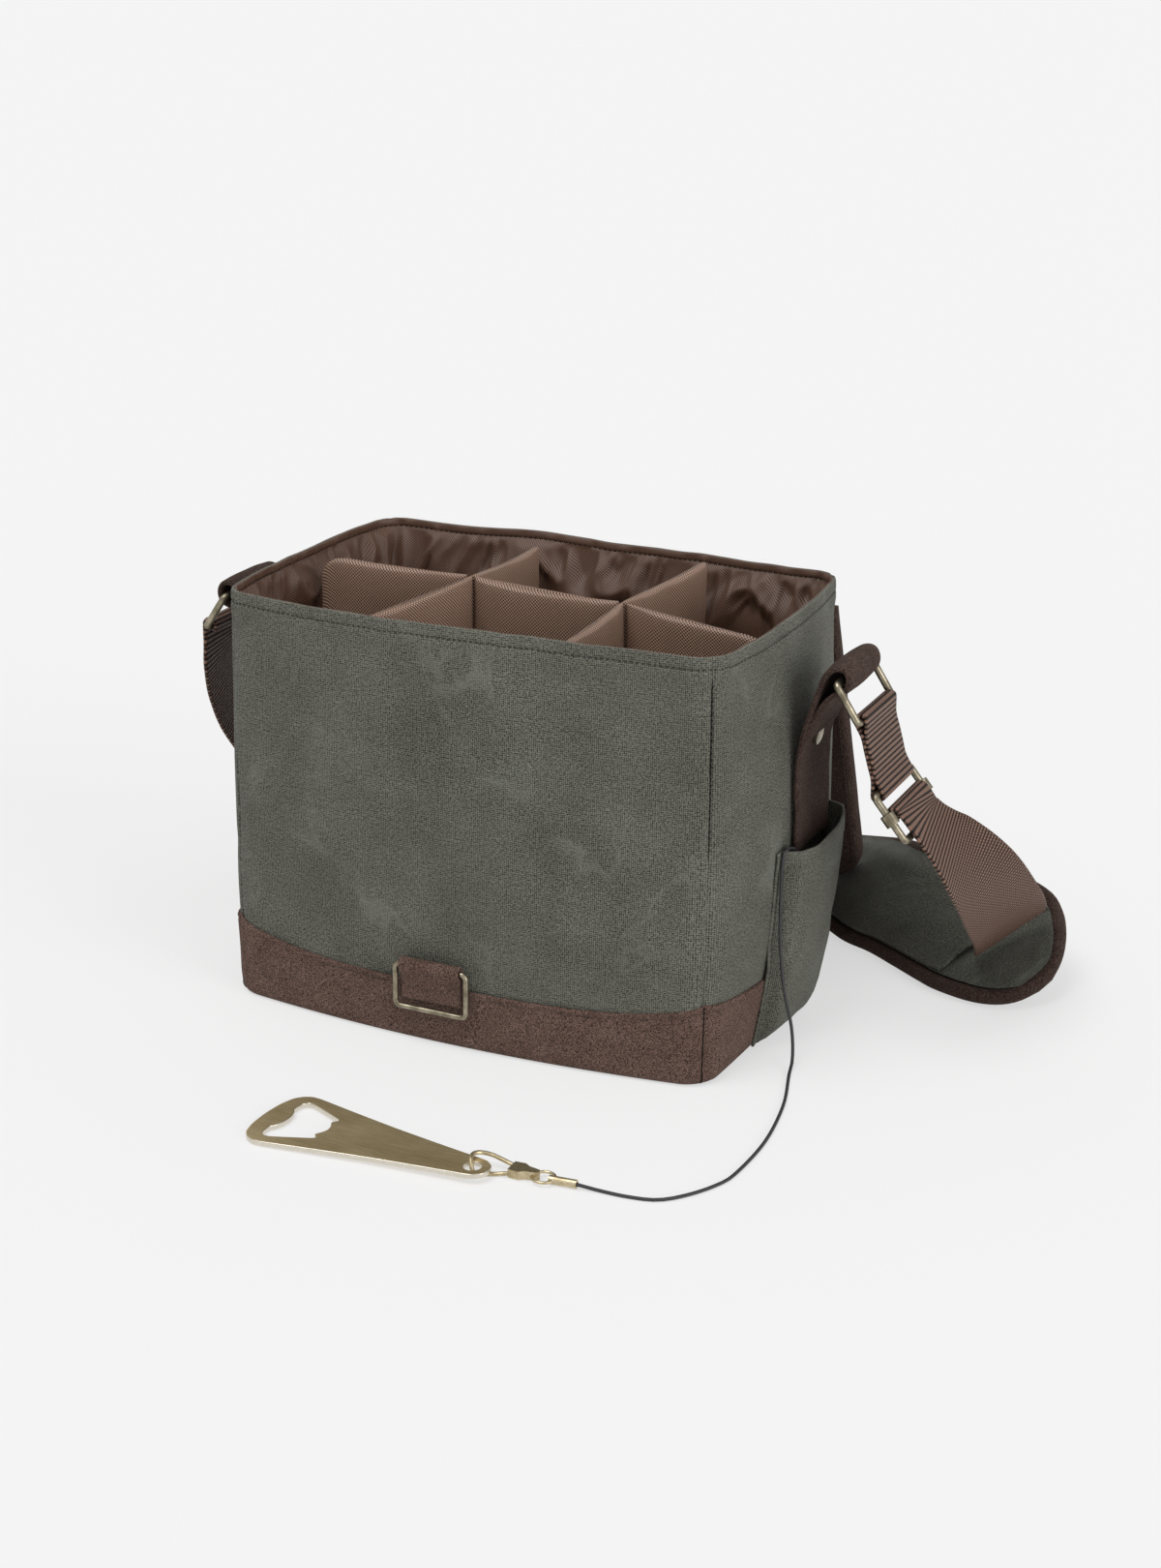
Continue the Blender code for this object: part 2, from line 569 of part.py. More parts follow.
# Side pocket: a pouch bulging off the right wall, open at the top
pocket_outer, pocket_inner = [], []
for row in range(len(POCKET_HEIGHTS) + 3):
    outer_row, inner_row = [], []
    for place_share, fullness in zip(POCKET_WIDTH_SHARES, POCKET_FULLNESS_SHARES):
        along = place_share * POCKET_HALF_WIDTH
        mouth = POCKET_MOUTH + POCKET_RISE_SHARE * along
        tops = [mouth - POCKET_HEM - GAP, mouth - POCKET_HEM, mouth]
        height = POCKET_HEIGHTS[row] if row < len(POCKET_HEIGHTS) else tops[row - len(POCKET_HEIGHTS)]
        bulge = POCKET_BULGES[min(row, len(POCKET_BULGES) - 1)]
        over_trim = float(np.interp(height, (TRIM_CORNER, TRIM_CORNER + POCKET_HEM), (trim_outer, 0)))
        inside = over_trim + POCKET_CLEAR + fullness * bulge
        step = POCKET_HEM_STEP if row > len(POCKET_HEIGHTS) else 0
        outer_row.append(wall_at("right", along, height, inside + POCKET_SHEET + step))
        inner_row.append(wall_at("right", along, height, inside))
    pocket_outer.append(outer_row)
    pocket_inner.append(inner_row)
two_sided("pocket_pouch", pocket_outer, pocket_inner, "canvas")

# Anchor bands on the side walls, and the tongues of the strap that continue them
band_side_shares = (-1, -0.5, 0, 0.5, 1)
band_cut = RING_TOP[0] * MM - BAND_CUT_FROM_RING
band_x, band_z = zip(*in_metres(BAND_UPPER))
for side, sign in (("right", 1), ("left", -1)):
    outer, inner = [], []
    for height in (BAND_BOTTOM, (BAND_BOTTOM + LEVELS[7]) / 2, LEVELS[7], BAND_LIFT):
        outer.append([wall_at(side, s * BAND_HALF_WIDTH, height, POCKET_CLEAR + BAND_THICK)
                      for s in band_side_shares])
        inner.append([wall_at(side, s * BAND_HALF_WIDTH, height, POCKET_CLEAR) for s in band_side_shares])
    for x in [place for place in band_x[1:] if place < band_cut - GAP] + [band_cut - GAP / 2]:
        z = float(np.interp(x, band_x, band_z))
        outer.append([(sign * x, s * BAND_HALF_WIDTH, z) for s in band_side_shares])
        inner.append([(sign * (x - BAND_THICK), s * BAND_HALF_WIDTH, z + GAP) for s in band_side_shares])
    two_sided("anchor_band_" + side, outer, inner, "suede")
    low, high = (float(np.interp(RIVET_HEIGHT + step, band_z, band_x)) for step in (-RIVET_RADIUS, RIVET_RADIUS))
    lean = unit(np.array([high - low, 0, 2 * RIVET_RADIUS]))
    outward = np.array([sign * lean[2], 0, -lean[0]])
    seat = np.array([sign * (low + high) / 2, 0, RIVET_HEIGHT]) + GAP * outward
    cylinder("band_rivet_" + side, seat, seat + RIVET_HEAD * outward, RIVET_RADIUS, "brass")


def beyond(outline, cut):
    """The part of an outline on the far side of an upright line."""
    kept = []
    for (x0, z0), (x1, z1) in zip(outline, outline[1:] + outline[:1]):
        if x0 >= cut:
            kept.append((x0, z0))
        if (x0 - cut) * (x1 - cut) < 0:
            kept.append((cut, z0 + (z1 - z0) * (cut - x0) / (x1 - x0)))
    return kept


def side_plane(sign):
    """Places a flat shape drawn in X and Z upright, mirrored for the left side."""
    place = Matrix.Rotation(math.radians(90), 4, "X")
    return (Matrix.Scale(-1, 4, (1, 0, 0)) if sign < 0 else Matrix()) @ place


def shifted(point, along=0.0, across=0.0, heading=(1, 0)):
    heading = unit(heading)
    return (point[0] + along * heading[0] - across * heading[1],
            point[1] + along * heading[1] + across * heading[0])


def eye_strap(start, end, eye, thickness):
    """Outline of a doubled band with an eye round each of two bars, and the two eyes."""
    start, end = np.array(start), np.array(end)
    heading = unit(end - start)
    length = np.linalg.norm(end - start)
    outer = eye + thickness
    facing = math.atan2(heading[1], heading[0])
    outline = []
    for centre, base in ((start, facing + math.pi), (end, facing)):
        for k in range(-5, 6):
            angle = base + math.radians(22 * k)
            outline.append(tuple(centre + outer * np.array([math.cos(angle), math.sin(angle)])))
        away = 2.1 * outer
        where = centre + heading * (away if centre is start else -away)
        side = -1 if centre is start else 1
        outline.append(shifted(where, across=side * thickness * 1.05, heading=heading))
        other = end if centre is start else start
        near = other + heading * (-away if centre is start else away)
        if length > 3 * away:
            outline.append(shifted(near, across=side * thickness * 1.05, heading=heading))
    holes = [[tuple(centre + eye * np.array([math.cos(a), math.sin(a)])) for a in angles(12)]
             for centre in (start, end)]
    return outline, holes


def ring_loop(top, low, half_width, corner, sideways=(0, 1, 0), facets=3):
    """Rounded rectangle between two bars, as a closed route."""
    top, low, sideways = np.array(top), np.array(low), np.array(sideways, float)
    down = unit(low - top)
    route = []
    for base, start, (a, b) in ((top, 90, (1, 1)), (low, 0, (1, -1)), (low, -90, (-1, -1)), (top, 180, (-1, 1))):
        for k in range(facets + 1):
            angle = math.radians(start - 90 * k / facets)
            side = a * (half_width - corner) + corner * math.cos(angle)
            lift = -b * corner + corner * math.sin(angle)
            route.append(base + sideways * side - down * lift)
    return route


for side, sign in (("right", 1), ("left", -1)):
    tongue = beyond(in_metres(TONGUE_OUTER), band_cut + GAP / 2)
    flat_shape("tongue_" + side, [tongue, in_metres(TONGUE_EYE)], 2 * BAND_HALF_WIDTH, side_plane(sign), "suede")
    top, low = (np.array(p) * MM * (sign, 1, 1) for p in (RING_TOP, RING_LOW))
    wire("ring_" + side, ring_loop(top, low, RING_HALF_WIDTH, RING_CORNER), RING_WIRE, "brass", cyclic=True,
         resolution=1)

# Link webbing between the right ring and the slider
ring_low = (RING_LOW[0] * MM, RING_LOW[2] * MM)
slider_top = (SLIDER_TOP[0] * MM, SLIDER_TOP[2] * MM)
slider_low = (SLIDER_LOW[0] * MM, SLIDER_LOW[2] * MM)
link_outline, link_eyes = eye_strap(ring_low, slider_top, LINK_EYE_RADIUS, WEB_THICK)
flat_shape("link_webbing", [link_outline] + link_eyes, 2 * WEB_HALF_WIDTH, side_plane(1), "webbing")

# Slider: a wire frame with a collared centre bar
frame_top, frame_low = np.array(SLIDER_TOP) * MM, np.array(SLIDER_LOW) * MM
wire("slider_frame", ring_loop(frame_top, frame_low, SLIDER_HALF_WIDTH, RING_CORNER), RING_WIRE, "brass", cyclic=True)
bar_centre = (frame_top + frame_low) / 2
bar_heading = unit(frame_low - frame_top)
bar_reach = np.array([0, SLIDER_HALF_WIDTH, 0])
slider_bar = cylinder("slider_bar", bar_centre - bar_reach, bar_centre + bar_reach, RING_WIRE, "brass")
for side, sign in (("near", -1), ("far", 1)):
    hub = bar_centre + sign * bar_reach
    collar = cylinder("collar_" + side, hub - COLLAR_HALF_LENGTH * bar_heading, hub + COLLAR_HALF_LENGTH * bar_heading,
                      COLLAR_RADIUS, "brass", cutter=True)
    boolean(slider_bar, collar, "UNION")
for side, sign in (("near", -1), ("far", 1)):
    hub = bar_centre + sign * bar_reach
    reach = 2 * COLLAR_HALF_LENGTH * bar_heading
    bore = cylinder("collar_bore_" + side, hub - reach, hub + reach, RING_WIRE + BAR_CLEAR, "brass", cutter=True)
    boolean(slider_bar, bore, "DIFFERENCE")

# Main webbing: wraps the centre bar, passes over the lower bar and drops to the pad
bar_normal = np.array([-bar_heading[2], 0, bar_heading[0]])
if bar_normal[2] < 0:
    bar_normal = -bar_normal
wrap = RING_WIRE + BAR_CLEAR + MAIN_WEB_THICK / 2
wrap_route = [bar_centre - wrap * bar_normal + 1.9 * RING_WIRE * bar_heading]
for degrees in range(180, -1, -30):
    turn = math.radians(degrees)
    wrap_route.append(bar_centre + wrap * (math.cos(turn) * bar_normal - math.sin(turn) * bar_heading))
wrap_route.append(frame_low + (wrap + BAR_CLEAR) * bar_normal)
right_route = wrap_route + [np.array(p) for p in in_metres(RIGHT_WEB)]
right_widths = [(0, 1, 0)] * len(wrap_route) + RIGHT_WEB_WIDTHS
tail = smooth_route(np.hstack([right_route[len(wrap_route) - 1:], right_widths[len(wrap_route) - 1:]]), 12)
strip("webbing_right", wrap_route[:-1] + list(tail[:, :3]), [(0, 1, 0)] * (len(wrap_route) - 1) + list(tail[:, 3:]),
      WEB_HALF_WIDTH, MAIN_WEB_THICK, "webbing")

# Left webbing: an eye round the left ring, then down to the floor and along to the pad
left_low = np.array(RING_LOW) * MM * (-1, 1, 1)
wrap = RING_WIRE + BAR_CLEAR + MAIN_WEB_THICK / 2
left_wrap = [left_low + wrap * np.array([math.cos(t), 0, math.sin(t)])
             for t in (math.radians(d) for d in range(-60, 181, 30))]
left_first = left_low + np.array([-wrap, 0, -3 * wrap])
left_knots = np.hstack([[left_wrap[-1], left_first] + in_metres(LEFT_WEB), [(0, 1, 0)] * 2 + LEFT_WEB_WIDTHS])
left_tail = smooth_route(left_knots, 26)
strip("webbing_left", left_wrap[:-1] + list(left_tail[:, :3]), [(0, 1, 0)] * (len(left_wrap) - 1) + list(left_tail[:, 3:]),
      WEB_HALF_WIDTH, MAIN_WEB_THICK, "webbing")

# Shoulder pad: back, foam, face and sleeve stacked, with a rolled binding round the edge
pad_lower = np.array(PAD_LOWER) * MM
pad_upper = np.array(PAD_UPPER) * MM
pad_middle = (pad_lower + pad_upper) / 2
pad_along = np.gradient(pad_middle, axis=0)


def pad_grid(offset, shares, count, lifts=None, edge=PAD_EDGE):
    """Points over the pad at a distance above its middle surface."""
    rows = []
    for k in range(1, count):
        across = pad_upper[k] - pad_lower[k]
        half = np.linalg.norm(across) / 2 - edge
        across = unit(across)
        normal = unit(np.cross(pad_along[k], across))
        rows.append([pad_middle[k] + share * half * across + normal * (offset + (lifts[i] if lifts else 0) * SLEEVE_LIFT)
                     for i, share in enumerate(shares)])
    return rows


pad_count = len(pad_lower) - 1
face_low = PAD_FOAM / 2 + 2 * GAP
two_sided("pad_foam", pad_grid(PAD_FOAM / 2, PAD_SHARES, pad_count - 1, edge=PAD_FOAM_EDGE),
          pad_grid(-PAD_FOAM / 2, PAD_SHARES, pad_count - 1, edge=PAD_FOAM_EDGE), "foam")
two_sided("pad_face", pad_grid(face_low + PAD_SHEET, PAD_SHARES, pad_count), pad_grid(face_low, PAD_SHARES, pad_count),
          "canvas")
two_sided("pad_back", pad_grid(-face_low, PAD_SHARES, pad_count),
          pad_grid(-face_low - PAD_SHEET, PAD_SHARES, pad_count), "suede")
sleeve_low = face_low + PAD_SHEET + 2 * GAP
two_sided("pad_sleeve", pad_grid(sleeve_low + PAD_SHEET, SLEEVE_SHARES, SLEEVE_STATIONS, SLEEVE_LIFTS),
          pad_grid(sleeve_low, SLEEVE_SHARES, SLEEVE_STATIONS, SLEEVE_LIFTS), "canvas")
binding_route = list(smooth_route(pad_lower, 30)) + list(smooth_route(pad_upper[::-1], 28))
wire("pad_binding", binding_route, BINDING_RADIUS, "suede", cyclic=True, resolution=1)

# Front tab and its ring
tab_centre = (TAB_BACK - TAB_EYE - TAB_SHEET, FRONT_RING_TOP)
tab_outer = TAB_EYE + TAB_SHEET
tab_outline = [(TAB_BACK, TAB_BOTTOM)]
for degrees in range(0, 181, 20):
    turn = math.radians(degrees)
    tab_outline.append((tab_centre[0] + tab_outer * math.cos(turn), tab_centre[1] + tab_outer * math.sin(turn)))
tab_outline.append((TAB_BACK - 2 * TAB_SHEET, FRONT_RING_TOP - 2.6 * tab_outer))
tab_outline.append((TAB_BACK - 2 * TAB_SHEET, TAB_BOTTOM))
tab_eye = [(tab_centre[0] + TAB_EYE * math.cos(a), tab_centre[1] + TAB_EYE * math.sin(a)) for a in angles(12)]
tab_place = Matrix.Translation((FRONT_RING_X, 0, 0)) @ Matrix(((0, 0, 1, 0), (1, 0, 0, 0), (0, 1, 0, 0), (0, 0, 0, 1)))
flat_shape("front_tab", [tab_outline, tab_eye], 2 * TAB_HALF_WIDTH, tab_place, "suede")
ring_top = (FRONT_RING_X, tab_centre[0], FRONT_RING_TOP)
ring_bottom = (FRONT_RING_X, tab_centre[0], FRONT_RING_TOP - FRONT_RING_DROP)
wire("front_ring", ring_loop(ring_top, ring_bottom, FRONT_RING_HALF_WIDTH, FRONT_RING_CORNER, (1, 0, 0)),
     FRONT_RING_WIRE, "brass", cyclic=True)

# Dividers, slotted into each other
upright = Matrix.Rotation(math.radians(90), 4, "X")
quarter = Matrix.Rotation(math.radians(90), 4, "Z")
long_tops = [(x, BODY_HEIGHT - drop) for x, drop in in_metres(LONG_DROPS)]
long_outline = [(long_tops[0][0], DIVIDER_BOTTOM), (long_tops[-1][0], DIVIDER_BOTTOM)] + long_tops[::-1]
divider_long = flat_shape("divider_long", [long_outline], DIVIDER_THICK, upright, "lining", DIVIDER_ROUND)
slot_half = DIVIDER_THICK / 2 + SLOT_CLEAR
slot_depth = 8 * DIVIDER_THICK
for name, place_x, degrees in CROSS_PLACES:
    place = Matrix.Translation((place_x, 0, 0))
    lean = Matrix.Rotation(math.radians(degrees), 4, "Z")
    outline = [(-CROSS_HALF_LENGTH, DIVIDER_BOTTOM), (CROSS_HALF_LENGTH, DIVIDER_BOTTOM),
               (CROSS_HALF_LENGTH, CROSS_TOP), (-CROSS_HALF_LENGTH, CROSS_TOP)]
    cross = flat_shape(name, [outline], DIVIDER_THICK, place @ lean @ quarter @ upright, "lining", DIVIDER_ROUND)
    lower_slot = [(-slot_half, 0), (slot_half, 0), (slot_half, SLOT_SPLIT + SLOT_CLEAR / 2),
                  (-slot_half, SLOT_SPLIT + SLOT_CLEAR / 2)]
    upper_slot = [(-slot_half, SLOT_SPLIT - SLOT_CLEAR / 2), (slot_half, SLOT_SPLIT - SLOT_CLEAR / 2),
                  (slot_half, 2 * BODY_HEIGHT), (-slot_half, 2 * BODY_HEIGHT)]
    lower_cutter = flat_shape(name + "_slot", [lower_slot], slot_depth, place @ quarter @ upright, None, cutter=True)
    upper_cutter = flat_shape(name + "_seat", [upper_slot], slot_depth, place @ lean @ upright, None, cutter=True)
    boolean(cross, lower_cutter, "DIFFERENCE")
    boolean(divider_long, upper_cutter, "DIFFERENCE")

# Lid: drawn closed over the bag, then turned open about its hinge
hinge = Matrix.Translation((0, HINGE_Y, HINGE_Z))
lid_open = hinge @ Matrix.Rotation(math.radians(-LID_OPEN_DEGREES), 4, "X") @ hinge.inverted()


def lid_outline(inset):
    """Plan of the lid from its back edge to its rounded front corners, moved in from the edge."""
    back = HINGE_Y - LID_START - inset
    front = HINGE_Y - LID_REACH + inset
    radius = LID_CORNER - inset
    half_back, half_front = LID_HALF_BACK - inset, LID_HALF_FRONT - inset
    right = [(half_back, back)]
    for k in range(CORNER_FACETS + 2):
        turn = math.radians(90 * k / (CORNER_FACETS + 1))
        right.append((half_front - radius + radius * math.cos(turn), front + radius - radius * math.sin(turn)))
    return right + [(-x, y) for x, y in reversed(right)]


def lid_slab(name, low, high, inset, slot):
    outline = lid_outline(inset)
    rings = [np.array([(x, y, z) for x, y in outline]) for z in (low, high)]
    made = loft(name, rings, slot)
    made.matrix_world = lid_open
    return made


lid_foam_low = LID_UNDERSIDE + LINING + GAP
lid_cover_low = lid_foam_low + LID_FOAM + GAP
lid_high = lid_cover_low + CANVAS
lid_slab("lid_lining", LID_UNDERSIDE, LID_UNDERSIDE + LINING, LID_EDGE + GAP, "lining")
lid_slab("lid_foam", lid_foam_low, lid_foam_low + LID_FOAM, LID_EDGE + GAP, "foam")
lid_slab("lid_cover", lid_cover_low, lid_high, LID_EDGE + GAP, "canvas")
edge_outer, edge_inner = lid_outline(0), lid_outline(LID_EDGE)
edge = [(edge_outer, LID_UNDERSIDE), (edge_outer, lid_high), (edge_inner, lid_high), (edge_inner, LID_UNDERSIDE)]
lid_edge = loft("lid_edge", [np.array([(x, y, z) for x, y in loop]) for loop, z in edge], "suede", closed=True)
lid_edge.matrix_world = lid_open
flap_front = HINGE_Y - LID_START + GAP
flap_section = [(HINGE_Y, HINGE_Z - FLAP_THICK / 2), (HINGE_Y, HINGE_Z + FLAP_THICK / 2),
                (flap_front + 2 * LID_EDGE, lid_high), (flap_front, lid_high), (flap_front, LID_UNDERSIDE),
                (flap_front + LID_EDGE, LID_UNDERSIDE - FLAP_THICK)]
flap_rings = [np.array([(x, y, z) for y, z in flap_section]) for x in (-TAPE_HALF, TAPE_HALF)]
hinge_flap = loft("lid_hinge_flap", flap_rings, "canvas")
hinge_flap.matrix_world = lid_open

# Hinge tape on the back wall, under the flap
tape_places = np.linspace(-TAPE_HALF, TAPE_HALF, 2 * FRONT_FACETS + 1)
tape_outer = [[wall_at("back", x, z, GAP + FLAP_THICK) for x in tape_places] for z in (TAPE_BOTTOM, TAPE_BEND)]
tape_inner = [[wall_at("back", x, z, GAP) for x in tape_places] for z in (TAPE_BOTTOM, TAPE_BEND)]
for rows, (across, up) in zip((tape_outer, tape_inner), in_metres(TAPE_ENDS)):
    rows.append([(x, HINGE_Y + across, HINGE_Z + up) for x in tape_places])
two_sided("hinge_tape", tape_outer, tape_inner, "suede")

# Closure strap: stowed under the lid, hinged at its front edge
strap_low = CLOSURE_AXIS_Z - CLOSURE_THICK / 2


def closure_piece(name, span, low, high, half_width, slot):
    near, far = (CLOSURE_AXIS_Y + s for s in span)
    rings = [np.array([(CLOSURE_X - half_width, y, z) for y, z in ((near, low), (far, low), (far, high), (near, high))]),
             np.array([(CLOSURE_X + half_width, y, z) for y, z in ((near, low), (far, low), (far, high), (near, high))])]
    made = loft(name, rings, slot)
    made.matrix_world = lid_open
    return made


closure_piece("closure_strap", (-CLOSURE_THICK / 2, CLOSURE_LENGTH), strap_low, strap_low + CLOSURE_THICK,
              CLOSURE_HALF_WIDTH, "webbing")
for name, span in (("hook_patch", HOOK_SPAN), ("loop_patch", LOOP_SPAN)):
    closure_piece(name, span, strap_low - GAP / 2 - PATCH_THICK, strap_low - GAP / 2, PATCH_HALF_WIDTH, "patch")

# Reel in the pocket: housing with a cord slot, spool and cover
reel = np.array(REEL_FROM_SIDE) * MM + np.array([BODY_WIDTH / 2, 0, 0])
out = np.array([1.0, 0, 0])
housing = cylinder("reel_housing", reel - out * REEL_DEPTH / 2, reel + out * REEL_DEPTH / 2, REEL_RADIUS, "plastic", 32)
hollow = cylinder("reel_hollow", reel - out * (REEL_DEPTH / 2 - REEL_WALL), reel + out * REEL_DEPTH,
                  REEL_RADIUS - REEL_WALL, "plastic", 32, cutter=True)
boolean(housing, hollow, "DIFFERENCE")
exit_start = np.array(CORD_ROUTE[0]) * MM
exit_toward = unit(np.array(CORD_ROUTE[1]) * MM - exit_start)
port = cylinder("reel_port", exit_start - exit_toward * REEL_RADIUS / 3, exit_start + exit_toward * REEL_RADIUS,
                CORD_RADIUS + GAP, "plastic", 12, cutter=True)
boolean(housing, port, "DIFFERENCE")
cover_start = reel + out * (REEL_DEPTH / 2 - REEL_WALL)
cylinder("reel_cover", cover_start, cover_start + out * REEL_WALL, REEL_RADIUS - REEL_WALL - GAP, "plastic", 32)
spool_start = reel - out * (REEL_DEPTH / 2 - REEL_WALL - GAP)
spool = cylinder("reel_spool", spool_start, spool_start + out * (REEL_DEPTH - 2 * REEL_WALL - 2 * GAP), SPOOL_RADIUS,
                 "plastic", 24)
bore = cylinder("reel_bore", spool_start - out * REEL_DEPTH, spool_start + out * REEL_DEPTH, SPOOL_BORE, "plastic", 16,
                cutter=True)
boolean(spool, bore, "DIFFERENCE")

# Cord from the reel over the pocket mouth to the floor, and its fittings
wire("cord", smooth_route(in_metres(CORD_ROUTE), CORD_STATIONS), CORD_RADIUS, "cord", resolution=0)
ferrule_start, ferrule_end = (np.array(p) * MM for p in (FERRULE_START, FERRULE_END))
ferrule_along = unit(ferrule_end - ferrule_start)
ferrule = cylinder("ferrule", ferrule_start, ferrule_end, FERRULE_RADIUS, "brass", 16)
socket = cylinder("ferrule_socket", ferrule_start - ferrule_along * FERRULE_RADIUS,
                  ferrule_start + ferrule_along * 2 * FERRULE_RADIUS, FERRULE_BORE, "brass", 12, cutter=True)
boolean(ferrule, socket, "DIFFERENCE")
link_centre = np.array(LINK_CENTRE) * MM
link_route = [link_centre + LINK_RADIUS * np.array([math.cos(a), math.sin(a), 0]) for a in angles(20)]
wire("link_ring", link_route, LINK_WIRE, "brass", cyclic=True, resolution=0)
eye_cutter = wire("link_eye_cutter", link_route, LINK_WIRE + GAP, "brass", cyclic=True, resolution=0, cutter=True)
boolean(ferrule, eye_cutter, "DIFFERENCE")
clasp_place = Matrix.Translation((0, 0, CLASP_MIDDLE))
clasp_body = flat_shape("clasp_body", [in_metres(CLASP_OUTLINE)], CLASP_THICK, clasp_place, "brass")
boolean(clasp_body, eye_cutter, "DIFFERENCE")
wire("clasp_wire", smooth_route(in_metres(CLASP_HOOK), 34), CLASP_WIRE, "brass", resolution=1)

# Opener plate, lifted at its narrow end by the clasp wire under it
hole, far = (np.array(p) * MM for p in (OPENER_HOLE, OPENER_FAR))
heading = unit(far - hole)
tilt = math.radians(OPENER_TILT_DEGREES)
plate_along = np.array([heading[0] * math.cos(tilt), heading[1] * math.cos(tilt), -math.sin(tilt)])
plate_side = np.array([-heading[1], heading[0], 0])
plate_up = np.cross(plate_along, plate_side)
plate_height = OPENER_LOW + OPENER_THICK / 2 + OPENER_HALF[-1][0] * MM * math.sin(tilt)
opener_place = Matrix.Identity(4)
for row in range(3):
    opener_place[row][0], opener_place[row][1], opener_place[row][2] = plate_along[row], plate_side[row], plate_up[row]
opener_place.translation = (hole[0], hole[1], plate_height)


def mirrored(half):
    upper = in_metres(half)
    return upper + [(u, -v) for u, v in reversed(upper) if v > 0]


hole_loop = [(HOLE_RADIUS * math.cos(a), HOLE_RADIUS * math.sin(a)) for a in angles(20)]
flat_shape("opener", [mirrored(OPENER_HALF), mirrored(OPENER_WINDOW_HALF), hole_loop], OPENER_THICK, opener_place,
           "brass")
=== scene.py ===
"""Looks of the six-compartment bottle bag: camera, light, finishes, cord and soft goods on its frame.

Lengths are in metres, but places and heights in lists, the heights of noise layers and the bare values that
join them are in millimetres until they meet MM or mm(). Origin: centre of the base on the floor, +X the right
side, -Y the front, +Z up.
"""

import math

import bpy
import numpy as np
from mathutils import Matrix, Vector


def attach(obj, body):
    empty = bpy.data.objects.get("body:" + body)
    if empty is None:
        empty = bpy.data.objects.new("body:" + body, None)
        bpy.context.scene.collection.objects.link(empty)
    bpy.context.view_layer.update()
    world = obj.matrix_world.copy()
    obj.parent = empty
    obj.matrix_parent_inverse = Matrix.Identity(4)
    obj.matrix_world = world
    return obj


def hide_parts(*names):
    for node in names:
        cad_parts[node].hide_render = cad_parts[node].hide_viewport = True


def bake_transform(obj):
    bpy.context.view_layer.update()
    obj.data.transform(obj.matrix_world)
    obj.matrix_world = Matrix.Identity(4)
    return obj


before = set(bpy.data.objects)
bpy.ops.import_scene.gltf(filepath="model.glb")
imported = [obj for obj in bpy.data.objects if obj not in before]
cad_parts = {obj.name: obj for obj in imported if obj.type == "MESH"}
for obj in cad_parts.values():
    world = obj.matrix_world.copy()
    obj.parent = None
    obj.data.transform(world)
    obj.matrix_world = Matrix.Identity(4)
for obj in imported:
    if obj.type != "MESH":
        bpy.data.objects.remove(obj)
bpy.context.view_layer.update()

MM = 0.001

# Camera, fitted to the outline of the bag
IMAGE_LONG_SIDE = 1620
FOCAL_PIXELS = 2691.4
SENSOR = 36.0
CAMERA_PLACE = (0.5798, -1.2192, 0.6021)
CAMERA_YAW, CAMERA_PITCH, CAMERA_ROLL = 24.39, 19.81, 0.72

# Light and floor
SUNS = {"key": ((0.25, 0.42, -1.0), 1.3, 35), "side": ((-0.92, 0.28, -0.25), 1.35, 40)}
SKY_LEVEL = 0.52
PAPER = (0.913, 0.913, 0.913, 1)
FLOOR_COLOUR = (0.9, 0.9, 0.9, 1)
FLOOR_PLAIN = 0.63
FLOOR_HALF = 20.0

# Cord
CORD_RADIUS = 0.9 * MM
CORD_POINTS = 76
CORD_ROUTE = [(164.2, -11.6, 97.2), (163.4, -17.5, 105), (161.6, -26, 113.5), (160.2, -31.8, 116.5),
              (159.2, -35.6, 115.6), (158.7, -36.7, 110), (158.5, -36.7, 92), (159.2, -36.8, 66),
              (162.4, -37.2, 40), (168, -38.4, 19), (171.6, -45, 5), (174.4, -57.5, 1.1), (184, -92, 1.1),
              (189.6, -132.9, 1.1), (188.5, -169.9, 1.1), (184.4, -184.7, 1.1), (175.6, -199.5, 1.1),
              (165, -209.9, 1.1), (151.5, -213.3, 1.1), (137, -214.1, 1.3), (124.6, -215.4, 2.6)]

# Body, as in the frame; each side bows out by three amounts in millimetres: at its foot, middle and rim
HALF_X, HALF_Y, HEIGHT, CORNER = 140 * MM, 90 * MM, 230 * MM, 14 * MM
BOWS = {"front": (11.9, 12.0, 6.5), "back": (8.0, 8.0, 9.7),
        "right": (3.2, 18.0, 5.3), "left": (3.2, 18.0, 6.4)}

LATTICE = np.random.default_rng(20).uniform(-1, 1, (48, 48, 48))


# Numbers and paths

def mm(values):
    return np.array(values, float) * MM


def unit(v):
    v = np.asarray(v, float)
    return v / np.linalg.norm(v, axis=-1, keepdims=True)


def ease(x, low, high):
    """0 up to low and 1 from high on, with a smooth step between."""
    t = np.clip((np.asarray(x, float) - low) / (high - low), 0, 1)
    return t * t * (3 - 2 * t)


def bell(distance, width):
    """1 at no distance, and close to 0 from two widths on."""
    return np.exp(-(distance / width) ** 2)


def noise(points, size, seed=0.0):
    """Smooth noise from about -1 to 1, with features of about the given size; size may be one per axis."""
    p = np.asarray(points, float) / size + seed
    cell = np.floor(p).astype(int)
    f = p - cell
    f = f * f * (3 - 2 * f)
    total = 0.0
    for corner in np.ndindex(2, 2, 2):
        weight = np.prod(np.where(corner, f, 1 - f), axis=-1)
        x, y, z = ((cell[..., k] + corner[k]) % len(LATTICE) for k in range(3))
        total = total + weight * LATTICE[x, y, z]
    return total


def ripples(points, *layers):
    """Sum of layers of noise, each with its height, size and seed."""
    return sum(height * noise(points, size, seed) for height, size, seed in layers)


